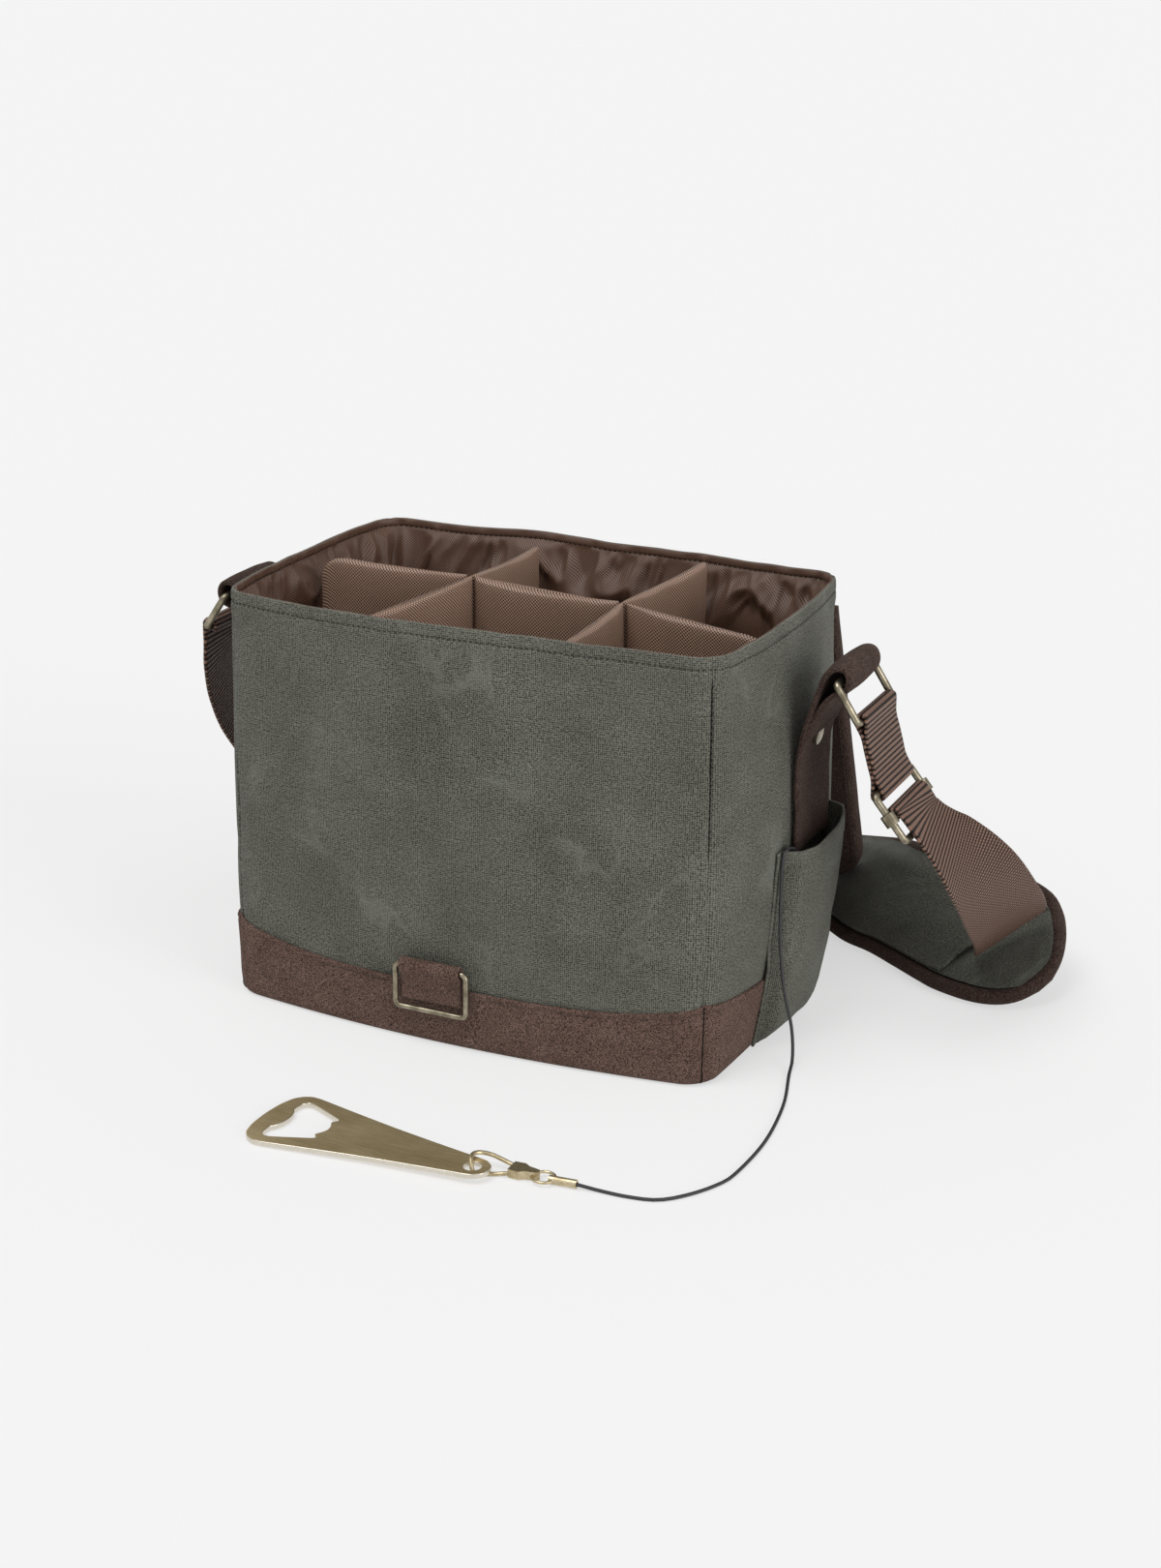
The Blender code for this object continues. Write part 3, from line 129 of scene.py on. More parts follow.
def flat_points(x, y):
    return np.stack(np.broadcast_arrays(x, y, 0.0), -1)


def looped(points):
    """Points of a closed path, ending on the first one again."""
    points = np.asarray(points, float)
    return np.concatenate([points, points[:1]])


def run_along(points):
    """Distance from the start of a path to each of its points."""
    return np.concatenate([[0], np.cumsum(np.linalg.norm(np.diff(points, axis=0), axis=1))])


def sampled(points, run, wanted):
    """Places on a path at the wanted distances."""
    return np.column_stack([np.interp(wanted, run, column) for column in points.T])


def extended(points):
    """Points with one more before the first and after the last, in line."""
    points = np.array(points, float)
    return np.vstack([2 * points[0] - points[1], points, 2 * points[-1] - points[-2]])


def curved(padded, steps):
    """Smooth curve through all points but the first and last, in even steps between each two."""
    fine = []
    for i in range(1, len(padded) - 2):
        a, b, c, d = padded[i - 1:i + 3]
        for t in np.linspace(0, 1, steps, endpoint=False):
            fine.append(0.5 * (2 * b + (c - a) * t + (2 * a - 5 * b + 4 * c - d) * t ** 2
                               + (3 * b - a - 3 * c + d) * t ** 3))
    fine.append(padded[-2])
    return np.array(fine)


def smooth_route(points, count, closed=False):
    """Evenly spaced points on a smooth curve through the given ones."""
    points = np.array(points, float)
    fine = curved(np.vstack([points[-1:], points, points[:2]]) if closed else extended(points), 24)
    run = run_along(fine[:, :3])
    wanted = np.linspace(0, run[-1], count + closed)
    return sampled(fine, run, wanted[:count])


def linked(name, data):
    """New object in the scene for a mesh, curve, lamp or camera."""
    made = bpy.data.objects.new(name, data)
    bpy.context.scene.collection.objects.link(made)
    return made


# Camera and lamps

def aim_camera():
    yaw, pitch, roll = (math.radians(a) for a in (CAMERA_YAW, CAMERA_PITCH, CAMERA_ROLL))
    ahead = Vector((-math.sin(yaw) * math.cos(pitch), math.cos(yaw) * math.cos(pitch), -math.sin(pitch)))
    right = Vector((math.cos(yaw), math.sin(yaw), 0))
    up = right.cross(ahead)
    right, up = (math.cos(roll) * right + math.sin(roll) * up, math.cos(roll) * up - math.sin(roll) * right)
    data = bpy.data.cameras.new("camera")
    data.lens = FOCAL_PIXELS / IMAGE_LONG_SIDE * SENSOR
    data.sensor_width = SENSOR
    camera = linked("camera", data)
    turn = Matrix((right, up, -ahead)).transposed().to_4x4()
    camera.matrix_world = Matrix.Translation(CAMERA_PLACE) @ turn
    bpy.context.scene.camera = camera


def add_sun(name, direction, strength, spread):
    data = bpy.data.lights.new(name, "SUN")
    data.energy = strength
    data.angle = math.radians(spread)
    lamp = linked(name, data)
    lamp.rotation_mode = "QUATERNION"
    lamp.rotation_quaternion = Vector(direction).to_track_quat("-Z", "Y")


aim_camera()
for sun, (direction, strength, spread) in SUNS.items():
    add_sun(sun, direction, strength, spread)
bpy.context.scene.view_settings.view_transform = "Standard"


# Finishes

class Finish:
    """A node material built one socket at a time."""

    def __init__(self, name, roughness, metallic=0.0, specular=0.5, sheen=0.0, sheen_tint=(1, 1, 1)):
        self.material = bpy.data.materials.new(name)
        self.material.use_nodes = True
        self.tree = self.material.node_tree
        self.shader = self.tree.nodes["Principled BSDF"]
        settings = {"Roughness": roughness, "Metallic": metallic, "Specular IOR Level": specular,
                    "Sheen Weight": sheen, "Sheen Roughness": 0.4, "Sheen Tint": (*sheen_tint, 1)}
        for socket, value in settings.items():
            self.shader.inputs[socket].default_value = value

    def feed(self, socket, value):
        if isinstance(value, bpy.types.NodeSocket):
            self.tree.links.new(value, socket)
        elif value is not None:
            socket.default_value = value

    def node(self, kind, inputs=(), output=0, **settings):
        """One output of a new node that is set up and fed."""
        made = self.tree.nodes.new("ShaderNode" + kind)
        for setting, value in settings.items():
            setattr(made, setting, value)
        for key, value in dict(inputs).items():
            self.feed(made.inputs[key], value)
        return made.outputs[output]

    def math(self, operation, *values):
        return self.node("Math", enumerate(values), operation=operation)

    def uv(self):
        """Distances over the cloth in metres: across, along, and both as a vector."""
        vector = self.node("UVMap", uv_map="cloth")
        across = self.node("SeparateXYZ", {0: vector})
        return across, across.node.outputs[1], vector

    def place(self):
        return self.node("TexCoord", output="Object")

    def scaled(self, vector, *scale):
        return self.node("Mapping", {"Vector": vector, "Scale": scale})

    def noise(self, vector, size, detail=2.0, roughness=0.5, distortion=0.0):
        return self.node("TexNoise", {"Vector": vector, "Scale": 1 / size, "Detail": detail,
                                      "Roughness": roughness, "Distortion": distortion})

    def ramp(self, value, low, high, first=0.0, last=1.0):
        """Goes from first to last while the value goes from low to high."""
        return self.node("MapRange", enumerate((value, low, high, first, last)))

    def blend(self, share, *colours):
        colours = [c if isinstance(c, bpy.types.NodeSocket) else (*c, 1) for c in colours]
        return self.node("Mix", zip((0, 6, 7), (share, *colours)), output=2, data_type="RGBA")

    def bump(self, *layers):
        """Bumps on top of each other, each with its height, depth and strength."""
        normal = None
        for height, depth, strength in layers:
            normal = self.node("Bump", {"Distance": depth, "Strength": strength, "Height": height,
                                        "Normal": normal})
        return normal

    def done(self, colour, normal=None, roughness=None):
        for socket, value in (("Base Color", colour), ("Normal", normal), ("Roughness", roughness)):
            self.feed(self.shader.inputs[socket], value)
        return self.material

    def plain_weave(self, u, v, pitch):
        """Height of a plain weave from 0 in the gaps to 1 on the yarns."""
        across, along = (self.math("SINE", self.math("MULTIPLY", d, math.pi / pitch)) for d in (u, v))
        over = self.math("MULTIPLY_ADD", self.math("MULTIPLY", across, along), 0.5, 0.5)
        warp = self.math("MULTIPLY", self.math("ABSOLUTE", across), over)
        weft = self.math("MULTIPLY", self.math("ABSOLUTE", along), self.math("SUBTRACT", 1.0, over))
        return self.math("MAXIMUM", warp, weft)


# Scales colours; the copies of canvas and suede made darker with it below are painted shade.
def lifted(lift, *colours):
    return [tuple(lift * c for c in colour) for colour in colours]


def canvas_finish(name="waxed_canvas", lift=1.0):
    f = Finish(name, 0.82, specular=0.3, sheen=0.06)
    u, v, vector = f.uv()
    slub = f.noise(f.scaled(vector, 1, 0.35, 1), 1.6 * MM)
    pick = f.noise(f.scaled(vector, 0.35, 1, 1), 1.6 * MM)
    warp_place, weft_place = (f.math("MULTIPLY_ADD", d, 0.6 * MM, way) for d, way in ((slub, u), (pick, v)))
    weave = f.plain_weave(warp_place, weft_place, 1.05 * MM)
    grain = f.noise(vector, 1 * MM, 2, 0.7)
    mottle = f.noise(vector, 50 * MM, 4, 0.62)
    patch = f.noise(vector, 130 * MM, 3)
    crease = f.noise(f.scaled(vector, 1, 0.7, 1), 85 * MM, 4, 0.55, 0.7)
    line = f.ramp(f.math("ABSOLUTE", f.math("SUBTRACT", crease, 0.5)), 0, 0.028, 1, 0)
    line = f.math("MULTIPLY", line, f.ramp(f.noise(vector, 45 * MM), 0.46, 0.66))
    yarn = f.math("MULTIPLY_ADD", weave, 0.75, f.math("MULTIPLY", grain, 1.9))
    yarn = f.math("ADD", yarn, f.math("MULTIPLY", f.math("ADD", slub, pick), 0.2))
    dark, deep, pale, light, worn, waxed = lifted(
        lift, (0.012, 0.013, 0.009), (0.026, 0.027, 0.020), (0.140, 0.139, 0.111), (0.198, 0.200, 0.163),
        (0.118, 0.119, 0.1), (0.21, 0.214, 0.186))
    uneven = f.ramp(mottle, 0.3, 0.7)
    base = f.blend(f.ramp(yarn, 1.33, 1.66), f.blend(uneven, dark, deep), f.blend(uneven, pale, light))
    base = f.blend(f.ramp(patch, 0.4, 0.75, 0, 0.22), base, worn)
    base = f.blend(f.math("MULTIPLY", line, 0.42), base, waxed)
    bump = f.bump((weave, 0.3 * MM, 0.9), (grain, 0.4 * MM, 0.9), (crease, 2.2 * MM, 0.6))
    return f.done(base, bump, f.ramp(mottle, 0.3, 0.7, 0.9, 0.72))


def suede_finish(name="suede", lift=1.0):
    f = Finish(name, 0.95, specular=0.2, sheen=0.16, sheen_tint=(0.42, 0.3, 0.25))
    at = f.place()
    nap = 0.55 * MM
    fibre = f.noise(at, nap, 2, 0.7)
    fleck = f.noise(at, 1.7 * nap, 3, 0.7)
    blotch = f.noise(at, 14 * MM, 4, 0.6)
    dark, mid, pale = lifted(lift, (0.011, 0.005, 0.0035), (0.168, 0.101, 0.079), (0.235, 0.151, 0.122))
    share = f.ramp(f.math("MULTIPLY_ADD", fleck, 0.55, fibre), 0.65, 0.89)
    base = f.blend(share, dark, f.blend(f.ramp(blotch, 0.3, 0.7), mid, pale))
    return f.done(base, f.bump((fibre, 0.5 * MM, 0.9), (fleck, 0.5 * MM, 0.6), (blotch, 1.2 * MM, 0.5)))


def nylon_finish(name, dark, pale, worn, pitch, crinkle, contrast, gloss):
    f = Finish(name, 0.42, specular=gloss, sheen=0.08, sheen_tint=(0.5, 0.35, 0.27))
    u, v, vector = f.uv()
    rising, falling = (f.math("SINE", f.math("MULTIPLY", f.math(way, u, v), 2 * math.pi / pitch))
                       for way in ("ADD", "SUBTRACT"))
    weave = f.math("MULTIPLY_ADD", rising, 0.3, f.math("MULTIPLY_ADD", falling, 0.24, 0.5))
    base = f.blend(f.ramp(weave, 0.52 - contrast, 0.52 + contrast), dark, pale)
    base = f.blend(f.ramp(f.noise(vector, 30 * MM, 3), 0.3, 0.7, 0, 0.12), base, worn)
    wrinkle = f.noise(f.scaled(vector, 1, 0.4, 1), 8 * MM, 3)
    bump = f.bump((weave, 0.2 * MM, 0.7), (wrinkle, crinkle, 0.5))
    return f.done(base, bump, f.ramp(weave, 0.2, 0.9, 0.52, 0.3))


def webbing_finish(row_pitch=2.1 * MM, bead_pitch=1.7 * MM):
    f = Finish("nylon_webbing", 0.55, specular=0.3, sheen=0.05, sheen_tint=(0.6, 0.4, 0.32))
    u, v, vector = f.uv()
    row = f.math("DIVIDE", v, row_pitch)
    shift = f.math("MULTIPLY_ADD", f.math("FLOOR", row), 0.5, f.math("DIVIDE", u, bead_pitch))
    bead, ridge = (f.math("ABSOLUTE", f.math("SINE", f.math("MULTIPLY", d, math.pi))) for d in (shift, row))
    height = f.math("MULTIPLY", f.math("POWER", ridge, 0.8), f.math("MULTIPLY_ADD", bead, 0.5, 0.5))
    # The colour follows the weave's height: darker in the grooves between ribs and beads, which is painted
    # shade, with random tone from noise on top.
    shade = f.math("MULTIPLY_ADD", f.noise(vector, 0.8 * MM), 0.5, f.math("SUBTRACT", height, 0.25))
    base = f.blend(f.ramp(shade, 0.36, 0.8), (0.004, 0.0018, 0.001), (0.222, 0.125, 0.087))
    return f.done(base, f.bump((height, 0.7 * MM, 1.0)), f.ramp(height, 0.2, 0.9, 0.75, 0.4))


def brass_finish(name, dark, pale):
    f = Finish(name, 0.36, metallic=1.0)
    at = f.place()
    stain = f.noise(at, 6 * MM, 4, 0.65)
    pit = f.noise(at, 0.9 * MM, 3, 0.7)
    base = f.blend(f.ramp(stain, 0.35, 0.65), dark, pale)
    base = f.blend(f.ramp(pit, 0.58, 0.74, 0, 0.7), base, (0.12, 0.09, 0.055))
    return f.done(base, f.bump((pit, 0.12 * MM, 0.35)), f.ramp(stain, 0.3, 0.7, 0.5, 0.3))


def plate_finish():
    f = Finish("brushed_plate", 0.4, metallic=0.9)
    vector = f.uv()[2]
    brush = f.noise(f.scaled(vector, 0.03, 1, 1), 0.5 * MM, 3, 0.7)
    cloud = f.noise(f.scaled(vector, 0.4, 1, 1), 20 * MM, 4, 0.6)
    wear = f.noise(vector, 4 * MM, 4, 0.7)
    base = f.blend(f.ramp(cloud, 0.3, 0.7), (0.66, 0.50, 0.26), (0.98, 0.82, 0.51))
    base = f.blend(f.ramp(brush, 0.35, 0.6, 0.6, 0), base, (0.33, 0.24, 0.12))
    base = f.blend(f.ramp(wear, 0.6, 0.8, 0, 0.3), base, (0.3, 0.22, 0.12))
    return f.done(base, f.bump((brush, 0.08 * MM, 0.6)), f.ramp(brush, 0.3, 0.7, 0.5, 0.32))


def simple_finish(name, dark, pale, size, roughness, depth=0.2 * MM, specular=0.5, metallic=0.0):
    f = Finish(name, roughness, metallic, specular)
    grain = f.noise(f.place(), size, 3, 0.6)
    return f.done(f.blend(grain, dark, pale), f.bump((grain, depth, 0.6)))


CANVAS = canvas_finish()
# The pad's canvas is a darker copy of the canvas: painted shade, since the pad lies in shadow under the strap
# and the bag.
SHADED_PAD_CANVAS = canvas_finish("shaded_pad_canvas", 0.68)
SUEDE = suede_finish()
# The bands use a darker copy of the suede: painted shade, as they stand in shadow on the bag's sides.
SHADED_BAND_SUEDE = suede_finish("shaded_band_suede", 0.48)
# A still darker copy of the suede: painted shade for the lid's edge, which hangs in shadow behind the bag;
# the pad's binding uses it too.
SHADED_DARK_SUEDE = suede_finish("shaded_dark_suede", 0.42)
NYLON = nylon_finish("lining_nylon", (0.010, 0.0035, 0.002), (0.215, 0.118, 0.077), (0.12, 0.068, 0.046),
                     pitch=1.6 * MM, crinkle=2.4 * MM, contrast=0.2, gloss=0.42)
PADDED_NYLON = nylon_finish("divider_nylon", (0.014, 0.006, 0.004), (0.52, 0.335, 0.24), (0.26, 0.168, 0.126),
                            pitch=1.9 * MM, crinkle=0.4 * MM, contrast=0.15, gloss=0.45)
WEBBING = webbing_finish()
BRASS = brass_finish("antique_brass", (0.2, 0.173, 0.12), (0.43, 0.38, 0.28))
BRIGHT_BRASS = brass_finish("bright_brass", (0.42, 0.34, 0.2), (0.74, 0.63, 0.42))
PLATE = plate_finish()
PLATE_EDGE = simple_finish("polished_edge", (0.62, 0.57, 0.47), (0.82, 0.78, 0.69), 2 * MM, 0.28, 0.05 * MM,
                           metallic=1.0)
FOAM = simple_finish("closed_foam", (0.42, 0.41, 0.38), (0.6, 0.59, 0.55), 1 * MM, 0.9)
BOARD = simple_finish("stiff_board", (0.05,) * 3, (0.1,) * 3, 2 * MM, 0.7)
PLASTIC = simple_finish("moulded_plastic", (0.012,) * 3, (0.03,) * 3, 0.8 * MM, 0.45, 0.05 * MM)
CORD = simple_finish("braided_cord", (0.008, 0.008, 0.009), (0.05, 0.05, 0.052), 0.7 * MM, 0.55)
PATCH = simple_finish("hook_and_loop", (0.008, 0.006, 0.005), (0.07, 0.05, 0.042), 1.2 * MM, 0.95, 1.2 * MM,
                      specular=0.2)
DARK_THREAD = simple_finish("dark_thread", (0.012, 0.011, 0.009), (0.04, 0.038, 0.03), 0.6 * MM, 0.7)
# Very dark thread for the lining's stitches, and painted shade for the dark lines sunk in the grooves of the
# corner seams.
THREAD_AND_SEAM_SHADE = simple_finish("thread_and_seam_shade", (0.004, 0.003, 0.002), (0.014, 0.01, 0.008), 0.6 * MM, 0.8,
                            specular=0.1)
BROWN_THREAD = simple_finish("brown_thread", (0.02, 0.01, 0.008), (0.075, 0.045, 0.036), 0.6 * MM, 0.6)


# World and floor: both seen as plain paper, but the floor keeps a share of its shading, and so its shadows

def set_world():
    world = bpy.data.worlds.new("studio")
    bpy.context.scene.world = world
    world.use_nodes = True
    nodes, links = world.node_tree.nodes, world.node_tree.links
    light, seen = nodes["Background"], nodes.new("ShaderNodeBackground")
    light.inputs["Color"].default_value = (1, 1, 1, 1)
    light.inputs["Strength"].default_value = SKY_LEVEL
    seen.inputs["Color"].default_value = PAPER
    camera_ray = nodes.new("ShaderNodeLightPath").outputs["Is Camera Ray"]
    either = nodes.new("ShaderNodeMixShader")
    for socket, source in zip(either.inputs, (camera_ray, light.outputs[0], seen.outputs[0])):
        links.new(source, socket)
    links.new(either.outputs[0], nodes["World Output"].inputs["Surface"])


def lay_floor():
    mesh = bpy.data.meshes.new("floor")
    corners = [(-1, -1), (1, -1), (1, 1), (-1, 1)]
    mesh.from_pydata([(x * FLOOR_HALF, y * FLOOR_HALF, 0) for x, y in corners], [], [(0, 1, 2, 3)])
    f = Finish("paper", 0.9, specular=0.0)
    glow = f.node("Emission", {"Color": PAPER})
    camera_ray = f.node("LightPath", output="Is Camera Ray")
    seen = f.math("MAXIMUM", camera_ray, camera_ray.node.outputs["Is Glossy Ray"])
    share = f.math("MULTIPLY", seen, FLOOR_PLAIN)
    either = f.node("MixShader", enumerate((share, f.shader.outputs[0], glow)))
    f.feed(f.tree.nodes["Material Output"].inputs["Surface"], either)
    mesh.materials.append(f.done(FLOOR_COLOUR))
    linked("floor", mesh)


set_world()
lay_floor()


# Builders

def cell_corners(grid):
    """The four corners of each cell of a grid, going round it."""
    return np.stack([grid[:-1, :-1], grid[:-1, 1:], grid[1:, 1:], grid[1:, :-1]], axis=2)


def grid_faces(rows, columns, wrap=False, caps=False):
    """Faces over rows and columns of points; wrap joins last column to first, and caps close the end rows."""
    index = np.arange(rows * columns).reshape(rows, columns)
    cells = cell_corners(np.hstack([index, index[:, :1]]) if wrap else index)
    ends = [index[0, ::-1].tolist(), index[-1].tolist()] if caps else []
    return cells.reshape(-1, 4).tolist() + ends


def cloth_corners(uv, columns, caps=False):
    """Place on the cloth of each corner of those faces."""
    ends = [uv[0, :columns][::-1], uv[-1, :columns]] if caps else []
    return np.vstack([cell_corners(uv).reshape(-1, 2), *ends])


def cloth_grid(across, along):
    return np.stack(np.broadcast_arrays(across[None, :], along[:, None]), -1)


def grid_uv(grid, wrap=False):
    """Distances along the rows and columns of a grid."""
    closed = np.concatenate([grid, grid[:, :1]], axis=1) if wrap else grid
    steps = np.linalg.norm(np.diff(grid, axis=0), axis=2).mean(axis=1)
    return cloth_grid(run_along(closed[len(grid) // 2]), np.concatenate([[0], np.cumsum(steps)]))


def place_mesh(name, points, faces, material, corner_uv=None):
    mesh = bpy.data.meshes.new(name)
    mesh.from_pydata(points.tolist(), [], faces)
    if corner_uv is not None:
        mesh.uv_layers.new(name="cloth").data.foreach_set("uv", corner_uv.astype(np.float32).ravel())
    mesh.polygons.foreach_set("use_smooth", [True] * len(mesh.polygons))
    mesh.update()
    mesh.materials.append(material)
    return linked(name, mesh)


def skin(name, grid, material, uv=None, wrap=False, caps=False, thickness=0.0, offset=-1.0):
    """Surface over rows and columns of points; a thickness goes behind it, or before it at an offset of 1."""
    grid = np.asarray(grid, float)
    rows, columns = grid.shape[:2]
    uv = grid_uv(grid, wrap) if uv is None else uv
    faces = grid_faces(rows, columns, wrap, caps)
    made = place_mesh(name, grid.reshape(-1, 3), faces, material, cloth_corners(uv, columns, caps))
    if thickness:
        step = made.modifiers.new("thickness", "SOLIDIFY")
        step.thickness = thickness
        step.offset = offset
        step.use_even_offset = False
    return made


def baked(made):
    """Applies the modifiers of an object."""
    graph = bpy.context.evaluated_depsgraph_get()
    mesh = bpy.data.meshes.new_from_object(made.evaluated_get(graph))
    made.modifiers.clear()
    made.data = mesh
    return made


def fit(made, body, *replaced, slot=None):
    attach(made, body)
    if replaced:
        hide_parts(*replaced)
    return made


def sewn(name, grid, material, body, *replaced, slot, **form):
    """Skin that rides on a body and stands for nodes of the frame."""
    return fit(skin(name, grid, material, **form), body, *replaced, slot=slot)


STITCH_HALF = 1.15 * MM
STITCH_RINGS, STITCH_SIDES = 5, 6


def stitch_points(radius):
    """One stitch along the first axis, thin at both ends, where it dips into the cloth."""
    points = []
    for a in np.linspace(-1, 1, STITCH_RINGS):
        thick = math.sqrt(max(0.06, 1 - a * a))
        lift = 0.2 - 0.9 * abs(a) ** 2.5
        for k in range(STITCH_SIDES):
            t = 2 * math.pi * k / STITCH_SIDES
            points.append((a * STITCH_HALF, thick * radius * math.cos(t),
                           (0.8 * thick * math.sin(t) + lift) * radius))
    return np.array(points)


def stitches(name, path, normals, body, material=DARK_THREAD, pitch=3.1 * MM, radius=0.32 * MM, closed=False):
    """A row of single stitches laid along a path on a surface; normals may be one for all points."""
    path = np.asarray(path, float)
    normals = np.broadcast_to(normals, path.shape)
    if closed:
        path, normals = looped(path), looped(normals)
    run = run_along(path)
    count = max(2, int(run[-1] / pitch))
    wanted = (np.arange(count) + 0.5) * run[-1] / count
    ahead = sampled(path, run, np.minimum(wanted + STITCH_HALF, run[-1]))
    along = unit(ahead - sampled(path, run, np.maximum(wanted - STITCH_HALF, 0)))
    normal = sampled(normals, run, wanted)
    normal = unit(normal - np.sum(normal * along, axis=1)[:, None] * along)
    one = stitch_points(radius)
    turned = one @ np.stack([along, np.cross(normal, along), normal], axis=1)
    points = (sampled(path, run, wanted)[:, None] + turned).reshape(-1, 3)
    faces = [face[::-1] for face in grid_faces(STITCH_RINGS, STITCH_SIDES, wrap=True, caps=True)]
    every = [[n * len(one) + i for i in face] for n in range(count) for face in faces]
    return fit(place_mesh(name, points, every, material), body)


def pushed_out(made, depth):
    """Moves each point of a mesh along its normal by depth(points)."""
    vertices = made.data.vertices
    points, normals = np.empty((2, len(vertices) * 3), np.float32)
    vertices.foreach_get("co", points)
    vertices.foreach_get("normal", normals)
    points, normals = points.reshape(-1, 3), normals.reshape(-1, 3)
    points = points + normals * depth(points)[:, None]
    vertices.foreach_set("co", points.astype(np.float32).ravel())
    made.data.update()
    return made


def add_spline(curve, points, closed):
    spline = curve.splines.new("POLY")
    spline.points.add(len(points) - 1)
    for place, point in zip(spline.points, points):
        place.co = (*point[:3], 1)
    spline.use_cyclic_u = closed
    spline.use_smooth = True


def tube(name, route, radius, material, body, *replaced, closed=False, resolution=5, slot=None):
    curve = bpy.data.curves.new(name, "CURVE")
    curve.dimensions = "3D"
    curve.bevel_depth = radius
    curve.bevel_resolution = resolution
    curve.use_fill_caps = not closed
    add_spline(curve, route, closed)
    curve.materials.append(material)
    return fit(linked(name, curve), body, *replaced, slot=slot)


def softened(name, node, material, voxel, rounds, body, slot):
    """The frame's own solid with its edges worn round, as thick soft leather is."""
    made = linked(name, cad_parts[node].data.copy())
    made.data.materials.clear()
    made.data.materials.append(material)
    step = made.modifiers.new("even", "REMESH")
    step.mode = "VOXEL"
    step.voxel_size = voxel
    step = made.modifiers.new("round", "SMOOTH")
    step.factor = 0.5
    step.iterations = rounds
    baked(made)
    made.data.polygons.foreach_set("use_smooth", [True] * len(made.data.polygons))
    made.data.update()
    return fit(made, body, node, slot=slot)


def strip(name, route, widths, half_width, thickness, material, columns, closed=False, curl=0.0, share=1.0,
          coarser=1.0):
    """Flat band with rounded edges along a route; its width turns with the given directions."""
    route = np.asarray(route, float)
    steps = np.roll(route, -1, axis=0) - np.roll(route, 1, axis=0) if closed else np.gradient(route, axis=0)
    tangents = unit(steps)
    across = unit(widths - np.sum(widths * tangents, axis=1)[:, None] * tangents)
    normal = np.cross(tangents, across)
    edge = thickness / 2
    flat = half_width - edge
    face = [(s * flat, edge) for s in np.linspace(-1, 1, columns)]
    face += [(flat + edge * math.sin(t), edge * math.cos(t)) for t in np.linspace(0.5, 2.64, 4)]
    section = np.vstack([face, np.negative(face)])
    bend = curl * (section[:, 0] / half_width) ** 2
    share = np.broadcast_to(share, len(route))
    grid = (route[:, None] + (section[:, 0][None, :, None] * share[:, None, None]) * across[:, None]
            + (section[:, 1] - bend)[None, :, None] * normal[:, None])
    if closed:
        route, grid = looped(route), looped(grid)
    uv = cloth_grid(np.append(section[:, 0], section[0, 0]), run_along(route) / coarser)
    return skin(name, grid, material, uv, wrap=True, caps=not closed)


# The cord comes first; its fittings follow further down

cord_points = smooth_route(mm(CORD_ROUTE), CORD_POINTS)
cord = tube("pull_cord", cord_points, CORD_RADIUS, CORD, "bag", "cord", resolution=3, slot="cord")


# The wall as a smooth surface

CORNER_STEPS = 26
SIDE_STEP = 3.4 * MM


def plan_points():
    """Rounded rectangle, anticlockwise from the middle of the front-left corner, and its corners' middles."""
    arcs = [(-1, -1, 225, 45), (1, -1, 270, 90), (1, 1, 0, 90), (-1, 1, 90, 90), (-1, -1, 180, 45)]
    headings = [None, (1, 0), (0, 1), (-1, 0), (0, -1)]
    points, middles = [], [0]
    for (side, end, start, sweep), heading in zip(arcs, headings):
        if heading:
            reach = 2 * ((HALF_X if heading[0] else HALF_Y) - CORNER)
            count = int(reach / SIDE_STEP)
            first = points[-1]
            points += [first + np.multiply(heading, reach) * k / count for k in range(1, count)]
        if sweep == 90:
            middles.append(len(points) + CORNER_STEPS // 2)
        centre = np.array([side * (HALF_X - CORNER), end * (HALF_Y - CORNER)])
        steps = CORNER_STEPS * sweep // 90
        for k in range(steps + 1):
            a = math.radians(start + sweep * k / steps)
            points.append(centre + CORNER * np.array([math.cos(a), math.sin(a)]))
    return np.array(points[:-1]), middles


PLAN, SEAMS = plan_points()
PLAN_RUN = run_along(looped(PLAN))
RUN = PLAN_RUN[:-1]
SEAM_RUN = PLAN_RUN[SEAMS]


def bow(side, z):
    base, middle, rim = mm(BOWS[side])
    t = np.clip(z / HEIGHT, 0, 1)
    return rim * t + base * (1 - t) + 4 * (middle - (rim + base) / 2) * t * (1 - t)


def wall(z, offset):
    """Loop on the wall at one height, or at one height per column, moved outward."""
    x, y = PLAN.T
    bow_x = np.where(x > 0, bow("right", z), bow("left", z))
    bow_y = np.where(y > 0, bow("back", z), bow("front", z))
    loop = np.column_stack([x + np.sign(x) * bow_x * (1 - (y / HALF_Y) ** 2) * np.abs(x) / HALF_X,
                            y + np.sign(y) * bow_y * (1 - (x / HALF_X) ** 2) * np.abs(y) / HALF_Y])
    ahead = np.roll(loop, -1, axis=0) - np.roll(loop, 1, axis=0)
    outward = unit(np.column_stack([ahead[:, 1], -ahead[:, 0]]))
    moved = loop + np.broadcast_to(offset, len(loop))[:, None] * outward
    return np.column_stack([moved, np.broadcast_to(z, len(loop))])


def wall_grid(heights, offsets):
    return np.array([wall(z, o) for z, o in zip(heights, offsets)])


def wall_uv(heights):
    return cloth_grid(PLAN_RUN, np.array([np.mean(z) for z in heights]))


def wall_normals(z):
    return unit(wall(z, 1 * MM) - wall(z, 0))


